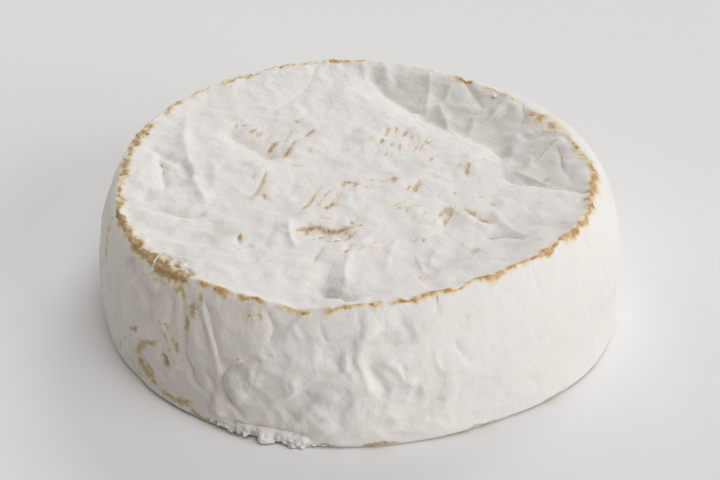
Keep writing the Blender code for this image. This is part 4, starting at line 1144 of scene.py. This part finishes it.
def wall_tones(f, colour, cloudy):
    """The wall's tones: creamy in spots, and painted shade that greys it towards its shaded left. It also
    gives a level that is 1 on the wall, and x.
    """
    place = f.node("ShaderNodeSeparateXYZ", {0: f.place})
    sideways, upward = (Level(f, place.outputs[name]) for name in "XZ")
    low = upward.step(*WALL_TONES)
    creamy = f.noise(9.0, 3.0, 0.5, bend=0.5).step(-0.2, 0.9)
    colour = f.mix(low * creamy * 0.75, colour, MOULD_CREAM)
    # Painted shade: greyer towards the left, which faces away from the light
    left_shade = low * (sideways + cloudy * 9.0).step(*SHADED_LEFT_PART)
    return f.mix(left_shade * 0.8, colour, WALL_SHADE_GREY), low, sideways


def stroke_tones(f, colour, fibres, patchy, fine, grit):
    """The mat's marks, each with a pale halo, and the wall's tan patches. Noise breaks up both."""
    mark = f.value("mark")
    rough = fibres * 0.5 + fine * 0.3 + grit * 0.15
    halo = (mark + fibres * 0.22 + patchy * 0.1).step(0.02, 0.6)
    mark = mark * 1.12 + rough * mark.step(0.0, 0.2)
    colour = f.mix(halo * 0.4, colour, HALO)
    colour = f.mix(mark.step(0.45, 0.9) * 0.85, colour, MARK_TAN)
    colour = f.mix(mark.step(0.85, 1.2) * 0.75, colour, MARK_BROWN)
    colour = f.mix(mark.step(1.15, 1.5) * 0.8, colour, MARK_DARK)
    stain = f.value("stain")
    rough = fine * 0.55 + patchy * 0.34 + grit * 0.25
    stain = stain * 1.15 + rough * stain.step(0.0, 0.2)
    colour = f.mix(stain.step(0.1, 0.7) * 0.5, colour, HALO)
    colour = f.mix(stain.step(0.42, 0.78) * 0.85, colour, STAIN_TAN)
    return f.mix(stain.step(0.82, 1.2) * 0.8, colour, MARK_BROWN), halo


def crust_tones(f, colour, sideways, patchy, fine, grit):
    """The crust: tan at its edges, brown in its middle, dark in noise-placed spots that are partly its own
    dark brown and partly painted shade of its pits, with specks of mould on it.
    """
    coarse = f.noise(1.9, 2.0, 0.5)
    shows = f.value("crust")
    crust = shows + coarse * 0.4 + fine * 0.3
    bare = crust.step(0.52, 0.95) * shows.step(0.1, 0.4)
    tone = f.mix((crust + coarse * 0.4).step(0.75, 1.45), CRUST_TAN, CRUST_BROWN)
    tone = f.mix((coarse * 0.9 + fine * 0.6 + grit * 0.3).step(0.35, 1.0) * 0.6, tone, CRUST_DARK_AND_PIT_SHADE)
    leftward = sideways.step(*OLIVE_PART)
    tone = f.mix(leftward * (patchy + fine).step(-0.5, 0.5) * 0.75, tone, CRUST_OLIVE)
    colour = f.mix((shows + fine * 0.2).step(0.0, 0.6) * 0.8, colour, HALO)
    speck = f.noise(1.2, 3.0, 0.6).step(0.2, 0.7) * 0.6
    return f.mix(bare * (1.0 - speck), colour, tone), bare, coarse


def crumpled(f):
    """Creases of crumpled skin, where they come and go."""
    wobble = f.node("ShaderNodeTexNoise", {"Vector": f.place, "Scale": 1.0 / WOBBLE}).outputs["Color"]
    place = f.vector("ADD", {0: f.place, 1: f.vector("SCALE", {0: wobble, "Scale": WOBBLE})})
    ridges = []
    for size, depth in CRUMPLE_NETS:
        inputs = {"Vector": place, "Scale": 1.0 / size}
        net = f.node("ShaderNodeTexVoronoi", inputs, feature="DISTANCE_TO_EDGE")
        ridges.append(Level(f, net.outputs["Distance"]).step(0.16, 0.0) * depth)
    return (ridges[0] + ridges[1]) * f.noise(7.0, 2.0, 0.5, bend=0.3).step(-0.3, 0.9)


def wrinkled(f, cloudy):
    """Fine wrinkles, drawn out along the way that they run."""
    drawn_out = f.value("wrinkle_along") * WRINKLE_SQUEEZE
    spread = f.node("ShaderNodeCombineXYZ", {0: f.value("wrinkle_across"), 1: drawn_out})
    fine = f.noise(WRINKLE_SIZE, 3.0, 0.6, place=spread.outputs[0])
    return fine * f.value("wrinkle") * cloudy.step(-0.8, 0.7)


def rind_finish():
    f = Finish("white_mould_rind")
    broad = f.noise(16.0, 3.0, 0.55)
    patchy = f.noise(3.2, 2.0, 0.5)
    fine = f.noise(0.9, 3.0, 0.6)
    grit = f.noise(0.4, 2.0, 0.6)
    cloudy = f.noise(7.0, 3.0, 0.6, bend=0.8)
    tufts = f.noise(5.0, 3.0, 0.55, bend=0.6)
    # The mould is painted greyer where it is thin, as shade on the top's slopes and the wall's hollows, and
    # at random
    thin = f.value("thin") + broad * 0.2 + patchy * 0.12 + cloudy * 0.22 + tufts * 0.26
    colour = f.mix(thin.step(0.0, 0.9), MOULD, MOULD_THIN_AND_SHADED)
    colour, low, sideways = wall_tones(f, colour, cloudy)

    # Fibres run the way the mat's straws lay
    laid = f.node("ShaderNodeMapping", {"Vector": f.place}, vector_type="TEXTURE")
    laid.inputs["Rotation"].default_value = (0.0, 0.0, math.radians(STRAW_TURN - 90))
    laid.inputs["Scale"].default_value = (1.0, FIBRE_STRETCH, 1.0)
    fibres = f.noise(FIBRE_SIZE, 2.0, 0.6, place=laid.outputs[0])
    colour, halo = stroke_tones(f, colour, fibres, patchy, fine, grit)
    colour, bare, coarse = crust_tones(f, colour, sideways, patchy, fine, grit)

    # Hairlines get painted shade that partly stands for grime in them, less of it on the wall
    offset = f.math("ABSOLUTE", f.value("hair") + fine * 0.06)
    hairline = offset.step(0.28, 0.03) * f.value("hair_strength").step(0.1, 0.9)
    hairline = hairline * (patchy + cloudy * 0.6).step(-0.5, 0.5) * (1.0 - low * 0.45)
    colour = f.mix(hairline * 0.55, colour, CREASE_SHADE_AND_GRIME)
    f.feed(f.surface.inputs["Base Color"], colour)

    # Relief: soft fuzz, fine wrinkles where they run, cut hairlines and gritty crust
    relief = patchy * 0.22 + fine * 0.1 + grit * 0.04
    relief = relief + wrinkled(f, cloudy) * WRINKLE_SHARE + hairline * HAIRLINE_SHARE
    relief = relief + bare * ((coarse + fine + grit) * CRUST_SHARE)
    f.bump(relief + crumpled(f) * CRUMPLE_SHARE + fibres * halo * FIBRE_SHARE, SKIN_DEPTH)
    for name, value in SKIN:
        f.surface.inputs[name].default_value = value
    return f.material


def finished(piece, material, replaces=()):
    piece.data.materials.append(material)
    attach(piece, "root")
    if replaces:
        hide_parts(*replaces)


FLOOR_REACH = 3.0
FLOOR_COLOUR = (0.80, 0.80, 0.80, 1.0)


def floor():
    mesh = bpy.data.meshes.new("floor")
    r = FLOOR_REACH
    mesh.from_pydata([(-r, -r, 0), (r, -r, 0), (r, r, 0), (-r, r, 0)], [], [(0, 1, 2, 3)])
    material = bpy.data.materials.new("pale_floor")
    material.use_nodes = True
    surface = material.node_tree.nodes["Principled BSDF"]
    surface.inputs["Base Color"].default_value = FLOOR_COLOUR
    surface.inputs["Roughness"].default_value = 0.9
    surface.inputs["Specular IOR Level"].default_value = 0.2
    mesh.materials.append(material)
    linked("floor", mesh)


# The lights, as wide soft sources far away: their bearing, height above the horizon and softness in
# degrees, then strength and colour
LIGHTS = (
    ("right", -32.0, 20.0, 45.0, 1.54, (1.0, 1.0, 1.0)),
    ("front", -70.0, 65.0, 40.0, 1.04, (1.0, 1.0, 1.0)),
    ("back_right", 58.0, 38.0, 30.0, 0.84, (1.0, 1.0, 1.0)),
    ("back", 85.0, 20.0, 30.0, 0.48, (1.0, 1.0, 1.0)),
    ("back_left", 140.0, 20.0, 30.0, 0.50, (1.0, 0.94, 0.88)),
)
SURROUNDINGS = (0.76, 0.74, 0.72, 1.0)
SURROUNDINGS_STRENGTH = 0.18


def light_up():
    for name, bearing, rise, softness, strength, colour in LIGHTS:
        lamp = bpy.data.lights.new(name, "SUN")
        lamp.energy = strength
        lamp.color = colour
        lamp.angle = math.radians(softness)
        turn, lift = math.radians(bearing), math.radians(rise)
        aim = Vector((math.cos(turn) * math.cos(lift), math.sin(turn) * math.cos(lift), math.sin(lift)))
        lamp_object = linked(name, lamp)
        lamp_object.rotation_euler = aim.to_track_quat("Z", "Y").to_euler()
        lamp_object.location = aim
    world = bpy.data.worlds.new("studio")
    world.use_nodes = True
    background = world.node_tree.nodes["Background"]
    background.inputs["Color"].default_value = SURROUNDINGS
    background.inputs["Strength"].default_value = SURROUNDINGS_STRENGTH
    bpy.context.scene.world = world


# The camera: its height above the horizon, its distance from the point of the floor that it looks at,
# that point, and its lens
CAMERA_RISE = math.radians(31.3)
CAMERA_DISTANCE = 0.457
CAMERA_AIM = Vector((0.0013, 0.0242, 0.0))
CAMERA_LENS = 100.0
CAMERA_SENSOR = 36.0


def camera():
    data = bpy.data.cameras.new("camera")
    data.lens = CAMERA_LENS
    data.sensor_width = CAMERA_SENSOR
    data.clip_start = 0.01
    piece = linked("camera", data)
    back = Vector((0.0, -math.cos(CAMERA_RISE), math.sin(CAMERA_RISE)))
    piece.location = CAMERA_AIM + CAMERA_DISTANCE * back
    piece.rotation_euler = back.to_track_quat("Z", "Y").to_euler()
    bpy.context.scene.camera = piece


def main():
    bpy.context.scene.view_settings.view_transform = "Standard"
    camera()
    light_up()
    floor()
    material = rind_finish()
    finished(rind(), material, replaces=(NODE,))
    finished(torn_rind(), material)


main()
